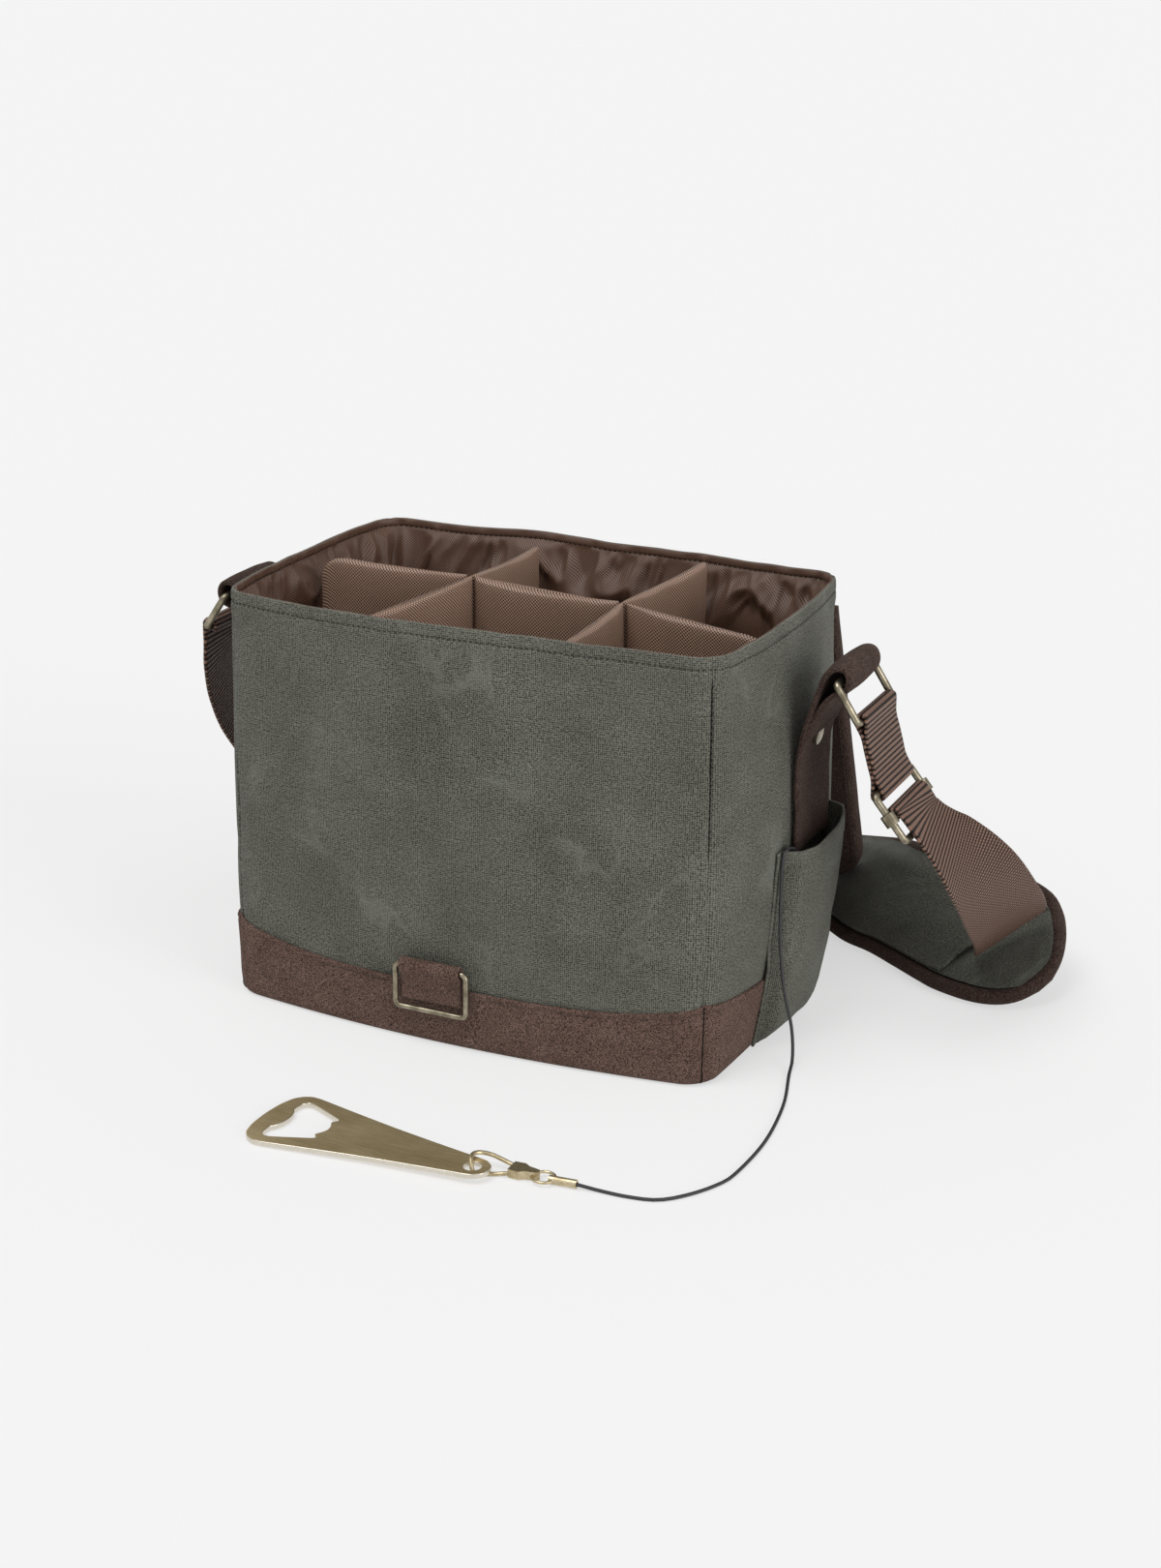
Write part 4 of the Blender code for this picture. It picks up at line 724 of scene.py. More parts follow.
def wall_spot(side, along, z, offset):
    """Points on one side's wall at sideways positions and heights."""
    along, z, offset = np.broadcast_arrays(np.asarray(along, float), z, offset)
    across_x = side in ("front", "back")
    half_along, half_out = (HALF_X, HALF_Y) if across_x else (HALF_Y, HALF_X)
    sign = -1 if side in ("front", "left") else 1
    t = along / half_along
    slope = -2 * bow(side, z) * t / half_along
    length = np.sqrt(1 + slope ** 2)
    out = half_out + bow(side, z) * (1 - t ** 2) + offset / length
    sideways = along - offset * slope / length
    point = (sideways, sign * out, z) if across_x else (sign * out, sideways, z)
    return np.stack(point, -1)


def seam_dip(width, depth):
    """Groove along the corner seams, with a low swelling on both sides."""
    total = PLAN_RUN[-1]
    dip = np.zeros(len(RUN))
    for centre in SEAM_RUN:
        distance = np.abs((RUN - centre + total / 2) % total - total / 2)
        dip += -depth * bell(distance, width) + 0.45 * depth * bell(distance - 3.2 * width, 1.8 * width)
    return dip


# Canvas of the walls

STITCH_HEIGHT, HEM_EDGE, RELIEF_END, WAVE_FOOT = 224 * MM, 215 * MM, 205 * MM, 190 * MM
SEAM_FOOT, SEAM_TOP = 48 * MM, 222 * MM
RIM_HEIGHTS = [219.5, 221.5, 223, 223.6, 224, 224.4, 225, 226.5, 228, 229.2, 229.9, 230.3, 230.4, 230.2]
RIM_ROLL = {229.9: 0.15, 230.3: 0.6, 230.4: 1.1, 230.2: 1.6}
CANVAS_LAYERS = ((1.1, (0.09, 0.11, 1), 2.3), (0.5, (0.035, 0.06, 1), 7.1), (0.28, (0.013, 0.02, 1), 4.7))
RIM_LAYERS = ((0.9, 0.045, 12), (0.35, 0.014, 15))


def body_relief(z):
    points = flat_points(RUN, z)
    shifted = points + 0.004 * noise(points, 0.02, 9)[:, None]
    ridge = (1 - np.abs(noise(shifted, (0.06, 0.045, 1), 5.5)) * 6).clip(0, 1)
    relief = (ripples(points, *CANVAS_LAYERS) - 0.35 * ridge) * MM
    fade = 1 - ease(z, RELIEF_END, STITCH_HEIGHT)
    pucker = 0.18 * MM * noise(points, (0.006, 1, 1), 1.3) * bell(z - STITCH_HEIGHT, 4 * MM)
    hem = 0.5 * MM * ease(z, HEM_EDGE, HEM_EDGE + 4 * MM) - 0.55 * MM * bell(z - STITCH_HEIGHT, 0.7 * MM)
    roll = RIM_ROLL.get(round(z / MM, 2), 0.0) * MM
    return relief * fade + hem + pucker - roll + seam_dip(0.9 * MM, 0.8 * MM)


def wave_rim(points):
    """The soft rim isn't quite level."""
    points = np.array(points, float)
    wave = ripples(points * (1, 1, 0), *RIM_LAYERS)
    points[..., 2] += wave * MM * ease(points[..., 2], WAVE_FOOT, 226 * MM)
    return points


body_heights = np.concatenate([np.arange(14, 218, 3.4), RIM_HEIGHTS]) * MM
body_grid = wave_rim(wall_grid(body_heights, [body_relief(z) for z in body_heights]))
sewn("canvas_walls", body_grid, CANVAS, "bag", "outer_shell", slot="canvas", uv=wall_uv(body_heights),
     wrap=True, thickness=1.2 * MM)

ring_normals = wall_normals(STITCH_HEIGHT)
seam_normals = wall_normals(100 * MM)[SEAMS]
stitches("rim_stitches", wave_rim(wall(STITCH_HEIGHT, 0.15 * MM)), ring_normals, "bag", closed=True)
seam_lines = [wall(z, -0.45 * MM)[SEAMS] for z in np.linspace(SEAM_FOOT, SEAM_TOP, 40)]
# Each corner gets its stitches and a dark line sunk in its groove, which is painted shade along the seam.
for n, (line, out) in enumerate(zip(np.swapaxes(seam_lines, 0, 1), seam_normals)):
    stitches(f"corner_stitches_{n}", line, out, "bag", pitch=3.4 * MM, radius=0.3 * MM)
    tube(f"corner_seam_shade_{n}", line - 0.35 * MM * out, 0.4 * MM, THREAD_AND_SEAM_SHADE, "bag", resolution=2)


# Suede trim round the base: its foot turned under the bag, its face, and its cut upper edge

TRIM_OUT = 2.0 * MM
TRIM_FOOT = ((0.1, 7.0), (0.1, 4.2), (0.6, 2.6), (1.4, 1.5), (2.6, 0.7), (4.0, 0.2))
TRIM_EDGE = ((0.0, 0.25), (0.35, 0.7), (0.45, 1.2), (0.3, 1.9))
TRIM_FACE_FOOT = 5 * MM
TRIM_SHARES = np.concatenate([np.linspace(0, 0.9, 16), [0.93, 0.95, 0.97, 0.985]])
TRIM_LAYERS = ((0.45, (0.045, 0.03, 1), 3.1), (0.15, (0.012, 0.012, 1), 6.2))
TRIM_CENTRES = (0.02, 0.35, 0.7)
THREAD_DROP = 2.6 * MM


def trim_top():
    """Height of the trim's upper edge: lowest in the middle of the front and back, highest at the corners."""
    across, along = np.minimum(np.abs(PLAN.T) / ((HALF_X,), (HALF_Y,)), 1)
    return np.where(along > across, 34 + 11.5 * across ** 4, 42 + 3.5 * along ** 4) * MM


TRIM_TOP = trim_top()
trim_rows = [(height * MM, TRIM_OUT - inset * MM) for height, inset in TRIM_FOOT]
for share in TRIM_SHARES:
    height = TRIM_FACE_FOOT + share * (TRIM_TOP - TRIM_FACE_FOOT)
    relief = ripples(flat_points(RUN, height), *TRIM_LAYERS)
    thread = -0.4 * bell(TRIM_TOP - height - THREAD_DROP, 0.6 * MM)
    dip = seam_dip(1.0 * MM, 1.1 * MM) * min(1, 6 * share + 0.2)
    trim_rows.append((height, TRIM_OUT + (relief + thread) * MM + dip))
trim_rows += [(TRIM_TOP + rise * MM, TRIM_OUT - inset * MM) for rise, inset in TRIM_EDGE]
trim_heights, trim_offsets = zip(*trim_rows)
trim_grid = wall_grid(trim_heights, trim_offsets)
trim_grid = np.concatenate([[trim_grid[0] * (s, s, 1) for s in TRIM_CENTRES], trim_grid])
trim_uv = wall_uv((0,) * len(TRIM_CENTRES) + trim_heights)
sewn("suede_trim", trim_grid, SUEDE, "bag", "base_trim", slot="suede", uv=trim_uv, wrap=True,
     thickness=0.9 * MM)
# A dark line sunk along each corner seam of the trim: painted shade in the groove.
for n, (k, out) in enumerate(zip(SEAMS, seam_normals)):
    line = trim_grid[len(TRIM_CENTRES) + 3:-4, k]
    tube(f"trim_seam_shade_{n}", line - 0.1 * MM * out, 0.5 * MM, THREAD_AND_SEAM_SHADE, "bag", resolution=2)
trim_line = wall(TRIM_TOP - THREAD_DROP, TRIM_OUT - 0.25 * MM)
stitches("trim_stitches", trim_line, ring_normals, "bag", BROWN_THREAD, radius=0.28 * MM, closed=True)


# Lining: the rim's thin sewn edge, then gathered nylon down the walls and a flat floor

FLOOR_TOP = 12.0 * MM
RIM_PROFILE = [(230.0, -1.0), (230.3, -1.3), (230.3, -1.7), (229.9, -2.05), (229.2, -2.2), (228.4, -2.3),
               (227.5, -2.35), (226.9, -2.25), (226.5, -2.1), (226.2, -1.85), (225.8, -2.2)]
FACING_STITCH = 226.2 * MM
GATHER_TOP, GATHER_LOW, GATHER_STEP = 225.4 * MM, 98 * MM, 1.6 * MM
EDGE_IN, LINING_IN = 2.4 * MM, 8.2 * MM
LINING_FOOT = ((4.0, 0.6), (2.2, 1.6), (0.9, 3.0), (0.2, 5.0), (0, 8.0))
MOST_FOLD = 11 * MM
COLUMNS = 640
EVEN = np.linspace(0, PLAN_RUN[-1], COLUMNS, endpoint=False)


def even_loop(z, offset):
    """The wall's loop at one height with its points spaced evenly."""
    return sampled(looped(wall(z, offset)), PLAN_RUN, EVEN)


def lining_face(z):
    return -(EDGE_IN + (LINING_IN - EDGE_IN) * float(ease(GATHER_TOP - z, 0, 32 * MM)))


def fold_crests(points, steepness, size, seed):
    """1 on winding crests, 0 between them."""
    return np.clip(1 - steepness * np.abs(noise(points, size, seed)) ** 0.8, 0, 1)


def fold_depth(loop, drop):
    """How far the lining stands in from the wall at a drop below its stitch: pleats, then wide folds."""
    sway = noise(loop, (0.045, 0.045, 0.04), 91)
    slant = 14 * drop * noise(loop, (0.05, 0.05, 0.5), 94)
    way = (0.35 * sway + slant)[:, None]
    pleats = fold_crests(loop + 0.02 * way, 2.2, (0.006, 0.006, 0.05), 96)
    folds = fold_crests(loop + 0.03 * way, 2, (0.016, 0.016, 0.045), 98)
    apart = np.abs(EVEN[:, None] - SEAM_RUN[None, :])
    corner = np.minimum(apart, PLAN_RUN[-1] - apart).min(axis=1)
    tuck = bell(corner - 9 * MM, 3.5 * MM)
    near_stitch = ease(drop, -1 * MM, 4 * MM) * (1 - 0.7 * ease(drop, 14 * MM, 34 * MM))
    below = ease(drop, 0, 12 * MM) * (1 - ease(drop, 75 * MM, 120 * MM))
    depth = 4.2 * pleats * near_stitch + (11 * folds + 4 * tuck) * below
    return MOST_FOLD * (1 - np.exp(-depth * MM / MOST_FOLD))


lining_rows = []
for z, offset in RIM_PROFILE:
    pucker = 0.85 * noise(wall(z * MM, 0), (0.0045, 0.0045, 0.012), 21.2) * float(ease(230.3 - z, 0, 1.8))
    lining_rows.append(even_loop(z * MM, (offset + pucker) * MM))
for z in np.arange(GATHER_TOP, GATHER_LOW, -GATHER_STEP):
    face = even_loop(z, lining_face(z))
    inward = unit(even_loop(z, lining_face(z) - 1 * MM) - face)
    lining_rows.append(face + inward * fold_depth(face, GATHER_TOP - z)[:, None])
for z in np.linspace(GATHER_LOW - 4 * MM, 17 * MM, 12):
    lining_rows.append(even_loop(z, -LINING_IN))
for rise, inset in LINING_FOOT:
    lining_rows.append(even_loop(FLOOR_TOP + rise * MM, -LINING_IN - inset * MM))
lining_grid = wave_rim(lining_rows)
floor_rows = [lining_grid[-1] * (s, s, 1) for s in (0.75, 0.45, 0.02, 0.001)]
sewn("nylon_lining", np.concatenate([lining_grid, floor_rows]), NYLON, "bag", "lining", "rim_facing",
     slot="lining", wrap=True)
facing_line = wave_rim(wall(FACING_STITCH, -EDGE_IN))
stitches("lining_stitches", facing_line, -ring_normals, "bag", THREAD_AND_SEAM_SHADE, closed=True)

# Foam inside the walls, tapered under the rim stitch
FOAM_OUTER = -1.8
FOAM_LEVELS = [12, 30, 60, 100, 140, 180, 205, 214, 219, 222]
FOAM_INNER = [-6.7] * 6 + [-5.2, -3.2, -2.5, -2.1]
foam_heights = mm(FOAM_LEVELS + FOAM_LEVELS[::-1] + FOAM_LEVELS[:1])
foam_offsets = mm([FOAM_OUTER] * len(FOAM_LEVELS) + FOAM_INNER[::-1] + [FOAM_OUTER])
sewn("wall_foam", wall_grid(foam_heights, foam_offsets), FOAM, "bag", "foam_walls", slot="foam", wrap=True)


# Side pocket

POCKET_HALF, POCKET_FOOT, POCKET_MOUTH, POCKET_RISE = 38 * MM, 3 * MM, 118 * MM, 0.09
POCKET_HEIGHTS = mm([3, 6, 12, 22, 38, 50, 60, 80, 100, 106, 118])
POCKET_BULGES = mm([0, 5, 9.5, 11, 11.2, 11.6, 12.3, 13, 13.2, 13.4, 13.4])
FULL_AT = [-1, -0.9, -0.86, -0.78, -0.58, -0.3, 0, 0.3, 0.58, 0.78, 0.86, 0.9, 1]
FULL = [0, 0, 0.35, 0.72, 0.93, 1, 1, 1, 0.93, 0.72, 0.35, 0, 0]
POCKET_LAYERS = ((0.9, (0.022, 0.04, 1), 31.1), (0.4, (0.009, 0.018, 1), 33.3))
HEM_ROWS = [0.91, 0.92, 0.93, 0.95, 0.97, 0.985, 0.995, 1.0]
HEM_STITCH = 0.925
POUCH_SHARES = np.concatenate([np.linspace(-1, -0.9, 4)[:-1], np.linspace(-0.9, -0.75, 6)[:-1],
                               np.linspace(-0.75, 0.75, 33), np.linspace(0.75, 0.9, 6)[1:],
                               np.linspace(0.9, 1, 4)[1:]])
RIGHT = (1.0, 0, 0)


def pouch_point(share, z, lift):
    full = np.interp(share, FULL_AT, FULL)
    bulge = np.interp(z, POCKET_HEIGHTS, POCKET_BULGES)
    over_trim = np.interp(z, mm([50, 62]), mm([1.9, 0]))
    return wall_spot("right", share * POCKET_HALF, z, over_trim + 0.4 * MM + full * bulge + lift)


def pouch_height(t):
    """Height of a row of the pouch; its mouth rises towards the back."""
    return POCKET_FOOT + t * (POCKET_MOUTH + POCKET_RISE * POUCH_SHARES * POCKET_HALF - POCKET_FOOT)


pouch_rows = []
for t in np.concatenate([np.linspace(0, 0.9, 40), HEM_ROWS]):
    z = pouch_height(t)
    flat = flat_points(POUCH_SHARES * POCKET_HALF, z)
    full = np.interp(POUCH_SHARES, FULL_AT, FULL)
    relief = full * ripples(flat, *POCKET_LAYERS)
    relief += full * 0.8 * noise(flat + 0.5 * flat[:, [1, 0, 2]], (0.013, 0.05, 1), 35.0)
    hem = 0.7 * ease(t, 0.905, 0.915) - 0.5 * bell(t - HEM_STITCH, 0.004)
    seam = -0.8 * bell((np.abs(POUCH_SHARES) - 0.88) * POCKET_HALF, 0.9 * MM) * (1 - ease(t, 0.9, 0.93))
    pouch_rows.append(pouch_point(POUCH_SHARES, z, (1.3 + relief + hem + seam) * MM))
sewn("canvas_pocket", pouch_rows, CANVAS, "bag", "pocket_pouch", slot="canvas", thickness=1.3 * MM)
mouth_line = pouch_point(POUCH_SHARES, pouch_height(HEM_STITCH), 1.45 * MM)
stitches("pocket_hem_stitches", mouth_line, RIGHT, "bag")
for n, share in enumerate((-0.945, 0.945)):
    line = pouch_point(share, np.linspace(8 * MM, 114 * MM, 40), 1.4 * MM)
    stitches(f"pocket_side_stitches_{n}", line, RIGHT, "bag", radius=0.26 * MM)


# Suede bands, tongues and the front tab

BAND_HALF, BAND_THICK = 24.4 * MM, 2.8 * MM
BAND_LEVELS = (110, 122, 136, 150)
BAND_ROUTE = [(159.4, 163.2), (162.2, 177.2), (164.3, 185), (166.0, 191), (168.9, 200.8), (171.5, 208.4),
              (175.6, 212.9), (180.5, 214.2), (184.2, 212.5), (186.0, 208.2), (185.3, 203.4), (182.4, 200.2),
              (178.6, 198.6), (175.2, 195.8), (172.3, 191.4), (169.2, 185.2), (166.5, 179.2), (165.0, 174.0)]
SIDES = (("right", 1), ("left", -1))
# The bands are in the darker suede, which is painted shade.
for side, sign in SIDES:
    on_wall = [wall_spot("right", 0, z, 0.4 * MM + BAND_THICK / 2)[[0, 2]] for z in mm(BAND_LEVELS)]
    out, height = smooth_route(np.vstack([on_wall, mm(BAND_ROUTE)]), 120).T
    ends = np.minimum(np.arange(len(out)), np.arange(len(out))[::-1])
    band = strip(f"suede_band_{side}", np.column_stack([sign * out, np.zeros(len(out)), height]),
                 np.array([0, sign, 0]), BAND_HALF, BAND_THICK, SHADED_BAND_SUEDE, 21, curl=1.0 * MM,
                 share=1 - 0.06 * np.exp(-ends / 2.0))
    pushed_out(band, lambda points: 0.45 * MM * noise(points, 0.011, 5 + sign))
    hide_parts(f"anchor_band_{side}", f"tongue_{side}")
    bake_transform(band)

TAB_X, TAB_HALF, TAB_FACE, TAB_STITCH = -9 * MM, 14.6 * MM, -108.4 * MM, 33.5 * MM
tab = softened("suede_tab", "front_tab", SUEDE, 0.55 * MM, 3, "bag", "suede")
pushed_out(tab, lambda points: 0.2 * MM * (0.5 + 0.5 * noise(points, 0.009, 3)))
tab_line = [(x, TAB_FACE, TAB_STITCH) for x in np.linspace(TAB_X - TAB_HALF, TAB_X + TAB_HALF, 12)]
stitches("tab_stitches", tab_line, (0, -1.0, 0), "bag", BROWN_THREAD, radius=0.35 * MM)


# Rings and slider

RING_TOP, RING_LOW = mm((180.0, 0, 206.0)), mm((192.6, 0, 187.0))
SLIDER_TOP, SLIDER_LOW = mm((203.5, 0, 150.0)), mm((221.0, 0, 129.0))
FRONT_TOP, FRONT_LOW = mm((-9, -108.8, 46)), mm((-9, -108.8, 21.5))
WIRE = 2.0 * MM
MIRRORED = (-1, 1, 1)
CORNER_FACETS = 8


def ring_loop(top, low, half_width, corner, sideways=(0, 1, 0)):
    """Rectangle of wire between two bars, with round corners."""
    sideways, down = np.array(sideways), unit(low - top)
    route = []
    for base, start, a, b in ((top, 90, 1, 1), (low, 0, 1, -1), (low, -90, -1, -1), (top, 180, -1, 1)):
        for k in range(CORNER_FACETS + 1):
            angle = math.radians(start - 90 * k / CORNER_FACETS)
            side = a * (half_width - corner) + corner * math.cos(angle)
            lift = -b * corner + corner * math.sin(angle)
            route.append(base + sideways * side - down * lift)
    return route


def wire(name, route, radius, body, node, material=BRASS, closed=True):
    return tube(name, route, radius, material, body, node, closed=closed, slot="brass")


for side, sign in SIDES:
    ring = ring_loop(RING_TOP * (sign, 1, 1), RING_LOW * (sign, 1, 1), 27 * MM, 2.5 * MM)
    wire(f"wire_ring_{side}", ring, WIRE, "strap", f"ring_{side}")
wire("wire_slider", ring_loop(SLIDER_TOP, SLIDER_LOW, 28 * MM, 2.5 * MM), WIRE, "strap", "slider_frame")
front_ring = ring_loop(FRONT_TOP, FRONT_LOW, 20.9 * MM, 3 * MM, (1, 0, 0))
wire("wire_front_ring", front_ring, 1.5 * MM, "front_ring", "front_ring")


# Webbing: its places in millimetres and the directions of its width, from the slider or left ring to the pad

WEB_HALF, WEB_THICK, BAR_CLEAR = 24 * MM, 2.4 * MM, 0.45 * MM
WRAP = WIRE + BAR_CLEAR + WEB_THICK / 2
RIGHT_WEB = [(238, 8, 114), (249, 30, 89.5), (252, 60, 63), (249.5, 84, 46.2), (246, 99, 35.8)]
RIGHT_WIDTHS = [(0.15, 0.97, 0.15), (0.35, 0.85, 0.3), (0.5, 0.72, 0.42), (0.62, 0.63, 0.46),
                (0.64, 0.61, 0.46)]
LEFT_WEB = [(-198, 2.5, 165), (-201.5, 11.5, 146), (-204, 28, 121), (-202.5, 62, 82), (-190, 105, 36),
            (-165, 137, 12), (-130, 158, 5.5), (-60, 178, 4.4), (-28, 185.4, 9.6), (-8, 187, 15.6),
            (9, 187, 16.1)]
LEFT_WIDTHS = [(0, 1, 0.12), (0, 1, 0.28), (-0.06, 0.95, 0.42), (-0.22, 0.88, 0.46), (-0.5, 0.8, 0.35),
               (-0.5, 0.85, 0.15), (-0.4, 0.9, 0.02), (-0.2, 0.98, 0.04), (-0.1, 0.99, 0.08), (0, 0.99, 0.1),
               (0, 0.99, 0.1)]
LINK_THICK, LINK_EYE, LINK_GAP = 1.9 * MM, 2.4 * MM, 0.08 * MM


def add_webbing(name, node, wound, places, widths, count, columns):
    """Webbing that is wound on a bar first, straight across, and then turns with the widths."""
    knots = np.hstack([wound + list(mm(places)), [(0, 1, 0)] * len(wound) + widths])
    knots = smooth_route(knots, count)
    made = strip(name, knots[:, :3], knots[:, 3:], WEB_HALF, WEB_THICK, WEBBING, columns)
    fit(made, "strap", node, slot="webbing")


bar_centre = (SLIDER_TOP + SLIDER_LOW) / 2
bar_heading = unit(SLIDER_LOW - SLIDER_TOP)
bar_normal = np.array([-bar_heading[2], 0, bar_heading[0]])
wound = [bar_centre - WRAP * bar_normal + 1.9 * WIRE * bar_heading]
for turn in np.radians(range(180, -1, -30)):
    wound.append(bar_centre + WRAP * (math.cos(turn) * bar_normal - math.sin(turn) * bar_heading))
wound.append(SLIDER_LOW + (WRAP + BAR_CLEAR) * bar_normal)
add_webbing("main_webbing", "webbing_right", wound, RIGHT_WEB, RIGHT_WIDTHS, 150, 25)
left_low = RING_LOW * MIRRORED
wound = [left_low + WRAP * np.array([math.cos(t), 0, math.sin(t)]) for t in np.radians(range(-60, 181, 30))]
wound.append(left_low + np.array([-WRAP, 0, -3 * WRAP]))
add_webbing("left_webbing", "webbing_left", wound, LEFT_WEB, LEFT_WIDTHS, 220, 19)


def bar_loop(start, end, eye, thickness, count):
    """Closed route of a band passed round two bars and pressed together between them."""
    heading = unit(end - start)
    normal = np.array([-heading[2], 0, heading[0]])
    r = eye + thickness / 2
    reach = np.linalg.norm(end - start)
    between = np.linspace(2.3 * r, reach - 2.3 * r, 4)

    def turned(bar, degrees):
        return [bar + r * (math.cos(t) * heading + math.sin(t) * normal) for t in np.radians(degrees)]

    def straight(distances, side):
        return [start + s * heading + side * (thickness / 2 + LINK_GAP) * normal for s in distances]

    points = turned(start, (250, 215, 180, 145, 110)) + straight(between, 1)
    points += turned(end, (70, 35, 0, -35, -70)) + straight(between[::-1], -1)
    return smooth_route(points, count, closed=True)


link_route = bar_loop(RING_LOW, SLIDER_TOP, LINK_EYE, LINK_THICK, 110)
link = strip("link_webbing_band", link_route, np.array([0, 1.0, 0]), WEB_HALF, LINK_THICK, WEBBING, 25,
             closed=True, coarser=1.3)
fit(link, "strap", "link_webbing", slot="webbing")


# Shoulder pad: places along its lower and upper edge, paired

PAD_LOWER = [(-1.5, 151, 5), (5, 151, 5), (60, 154, 5), (107, 152, 5), (127, 138, 5), (144, 124, 5),
             (161, 116, 5), (180, 103, 5), (199, 89.5, 5), (211, 82, 5), (231, 75, 5.2), (246, 74.5, 6),
             (257, 77.6, 8.6), (266, 84, 13.4)]
PAD_UPPER = [(-1.5, 223, 12), (5, 223, 12), (85, 226, 20), (137, 210, 31), (160, 184, 42), (182, 158, 49.5),
             (209, 152, 49.5), (235, 147.5, 47), (254, 140.5, 43.2), (263.5, 130, 38.4), (268.5, 119, 33),
             (271, 109, 27.4), (271.4, 100, 22.4), (270, 90.5, 17.2)]
FINER = 7
SLEEVE_LAST = 9 * FINER
PAD_EDGE, SLEEVE_EDGE = 3.2 * MM, 3.4 * MM
FACE_LAYERS = ((0.35, (0.008, 0.02, 1), 41), (0.3, (0.02, 0.012, 1), 44))
SLEEVE_LAYERS = ((0.5, (0.009, 0.02, 1), 51), (0.5, (0.02, 0.01, 1), 54))
pad_low, pad_high = (curved(extended(mm(edge)), FINER) for edge in (PAD_LOWER, PAD_UPPER))
pad_middle = (pad_low + pad_high) / 2
pad_along = np.gradient(pad_middle, axis=0)
pad_last = len(pad_low) - 1


def pad_surface(offset, last, columns, edge):
    """Grid over the pad up to a station; offset gives its heights at the shares across one station."""
    rows = []
    shares = np.sin(np.linspace(-1, 1, columns) * math.pi / 2)
    for k in range(FINER, last + 1):
        across = pad_high[k] - pad_low[k]
        half = max(np.linalg.norm(across) / 2 - edge, 1 * MM)
        across = unit(across)
        normal = unit(np.cross(pad_along[k], across))
        rows.append(pad_middle[k] + np.outer(shares * half, across) + np.outer(offset(shares, k), normal))
    return np.array(rows)


def pad_wrinkles(layers, shares, k):
    return ripples(flat_points(shares * 0.03, k * 0.004), *layers)


def crown(height, puff):
    def offset(shares, k):
        ends = ease(pad_last - k, 0, 3 * FINER / 2)
        wrinkle = pad_wrinkles(FACE_LAYERS, shares, k) * (1 - shares ** 4)
        return (height + puff * (1 - np.abs(shares) ** 3) * ends + wrinkle) * MM * (0.35 + 0.65 * ends)
    return offset


def sleeve_offset(shares, k):
    side = ease(1 - np.abs(shares), 0.0, 0.5)
    hem = 0.9 * ease(k, SLEEVE_LAST - 5, SLEEVE_LAST - 4)
    return (6.0 + 4.4 * side + pad_wrinkles(SLEEVE_LAYERS, shares, k) * side + hem) * MM


# The pad's canvas and its sleeve use the darker canvas, which is painted shade.
face = sewn("shaded_pad_canvas", pad_surface(crown(4.4, 2.2), pad_last, 25, PAD_EDGE), SHADED_PAD_CANVAS,
            "strap", "pad_face", "pad_foam", slot="canvas", thickness=1.0 * MM)
sewn("pad_suede_back", pad_surface(crown(-4.4, 0.4), pad_last, 17, PAD_EDGE), SUEDE,
     "strap", "pad_back", slot="suede", thickness=1.0 * MM, offset=1.0)
binding = np.vstack([smooth_route(mm(PAD_LOWER), 90), smooth_route(mm(PAD_UPPER[::-1]), 84)])
tube("pad_suede_binding", binding, 4.4 * MM, SHADED_DARK_SUEDE, "strap", "pad_binding", closed=True, resolution=6,
     slot="suede")
sleeve_grid = pad_surface(sleeve_offset, SLEEVE_LAST, 31, SLEEVE_EDGE)
sewn("pad_canvas_sleeve", sleeve_grid, SHADED_PAD_CANVAS, "strap", "pad_sleeve", slot="canvas", thickness=1.2 * MM)
for n, row in enumerate((-4, -2)):
    line, beside = sleeve_grid[row, 2:-2], sleeve_grid[row, 3:-1]
    normals = np.cross(beside - line, line - sleeve_grid[row - 2, 2:-2])
    normals = unit(normals * np.sign(normals[:, 2:3]))
    stitches(f"sleeve_hem_stitches_{n}", line + 0.2 * MM * normals, normals, "strap")


# Dividers

DIVIDER_LOW, DIVIDER_THICK = 12.4 * MM, 6.0 * MM
LONG_END, CROSS_REACH = 132.5 * MM, 84 * MM
CROSSES = [("divider_left", -51 * MM, -7.4), ("divider_right", 57 * MM, -4.0)]
LONG_KNOTS = [-LONG_END, CROSSES[0][1], CROSSES[1][1], LONG_END]
CROSS_GAP, CROSS_START = 2.6 * MM, 0.3 * MM
LONG_TOPS = [(-132.5, 216.5), (-131.5, 221.5), (-129, 226), (-125, 229.1), (-119, 230.3), (-60, 229.6),
             (-30, 229.4), (26, 228), (57, 226), (90, 222), (122, 218), (129, 215.5), (132.5, 210)]
LONG_SAGS = [1.2, 3.0, 1.2]
FRONT_TOP_HEIGHT, BACK_TOPS = 223.5, [226, 229.5]
CROSS_SAG = 1.2
PANEL_LAYERS = ((0.55, (0.02, 0.03, 1), 0), (0.3, (0.008, 0.02, 1), 3))
PANEL_LEVELS = np.concatenate([np.linspace(0, 0.6, 8), np.linspace(0.65, 1.0, 22)])
PANEL_TOP = [(1.5, 0.92), (0.8, 0.75), (0.3, 0.5), (0.05, 0.22)]
PANEL_CROWN, PANEL_EDGE, PINCH_REACH = 2.4 * MM, 1.6 * MM, 7 * MM
PINCH = 0.45
LEAN = mm([0, 12, -7, 0])


def long_top(x):
    return np.interp(x / MM, *zip(*LONG_TOPS))


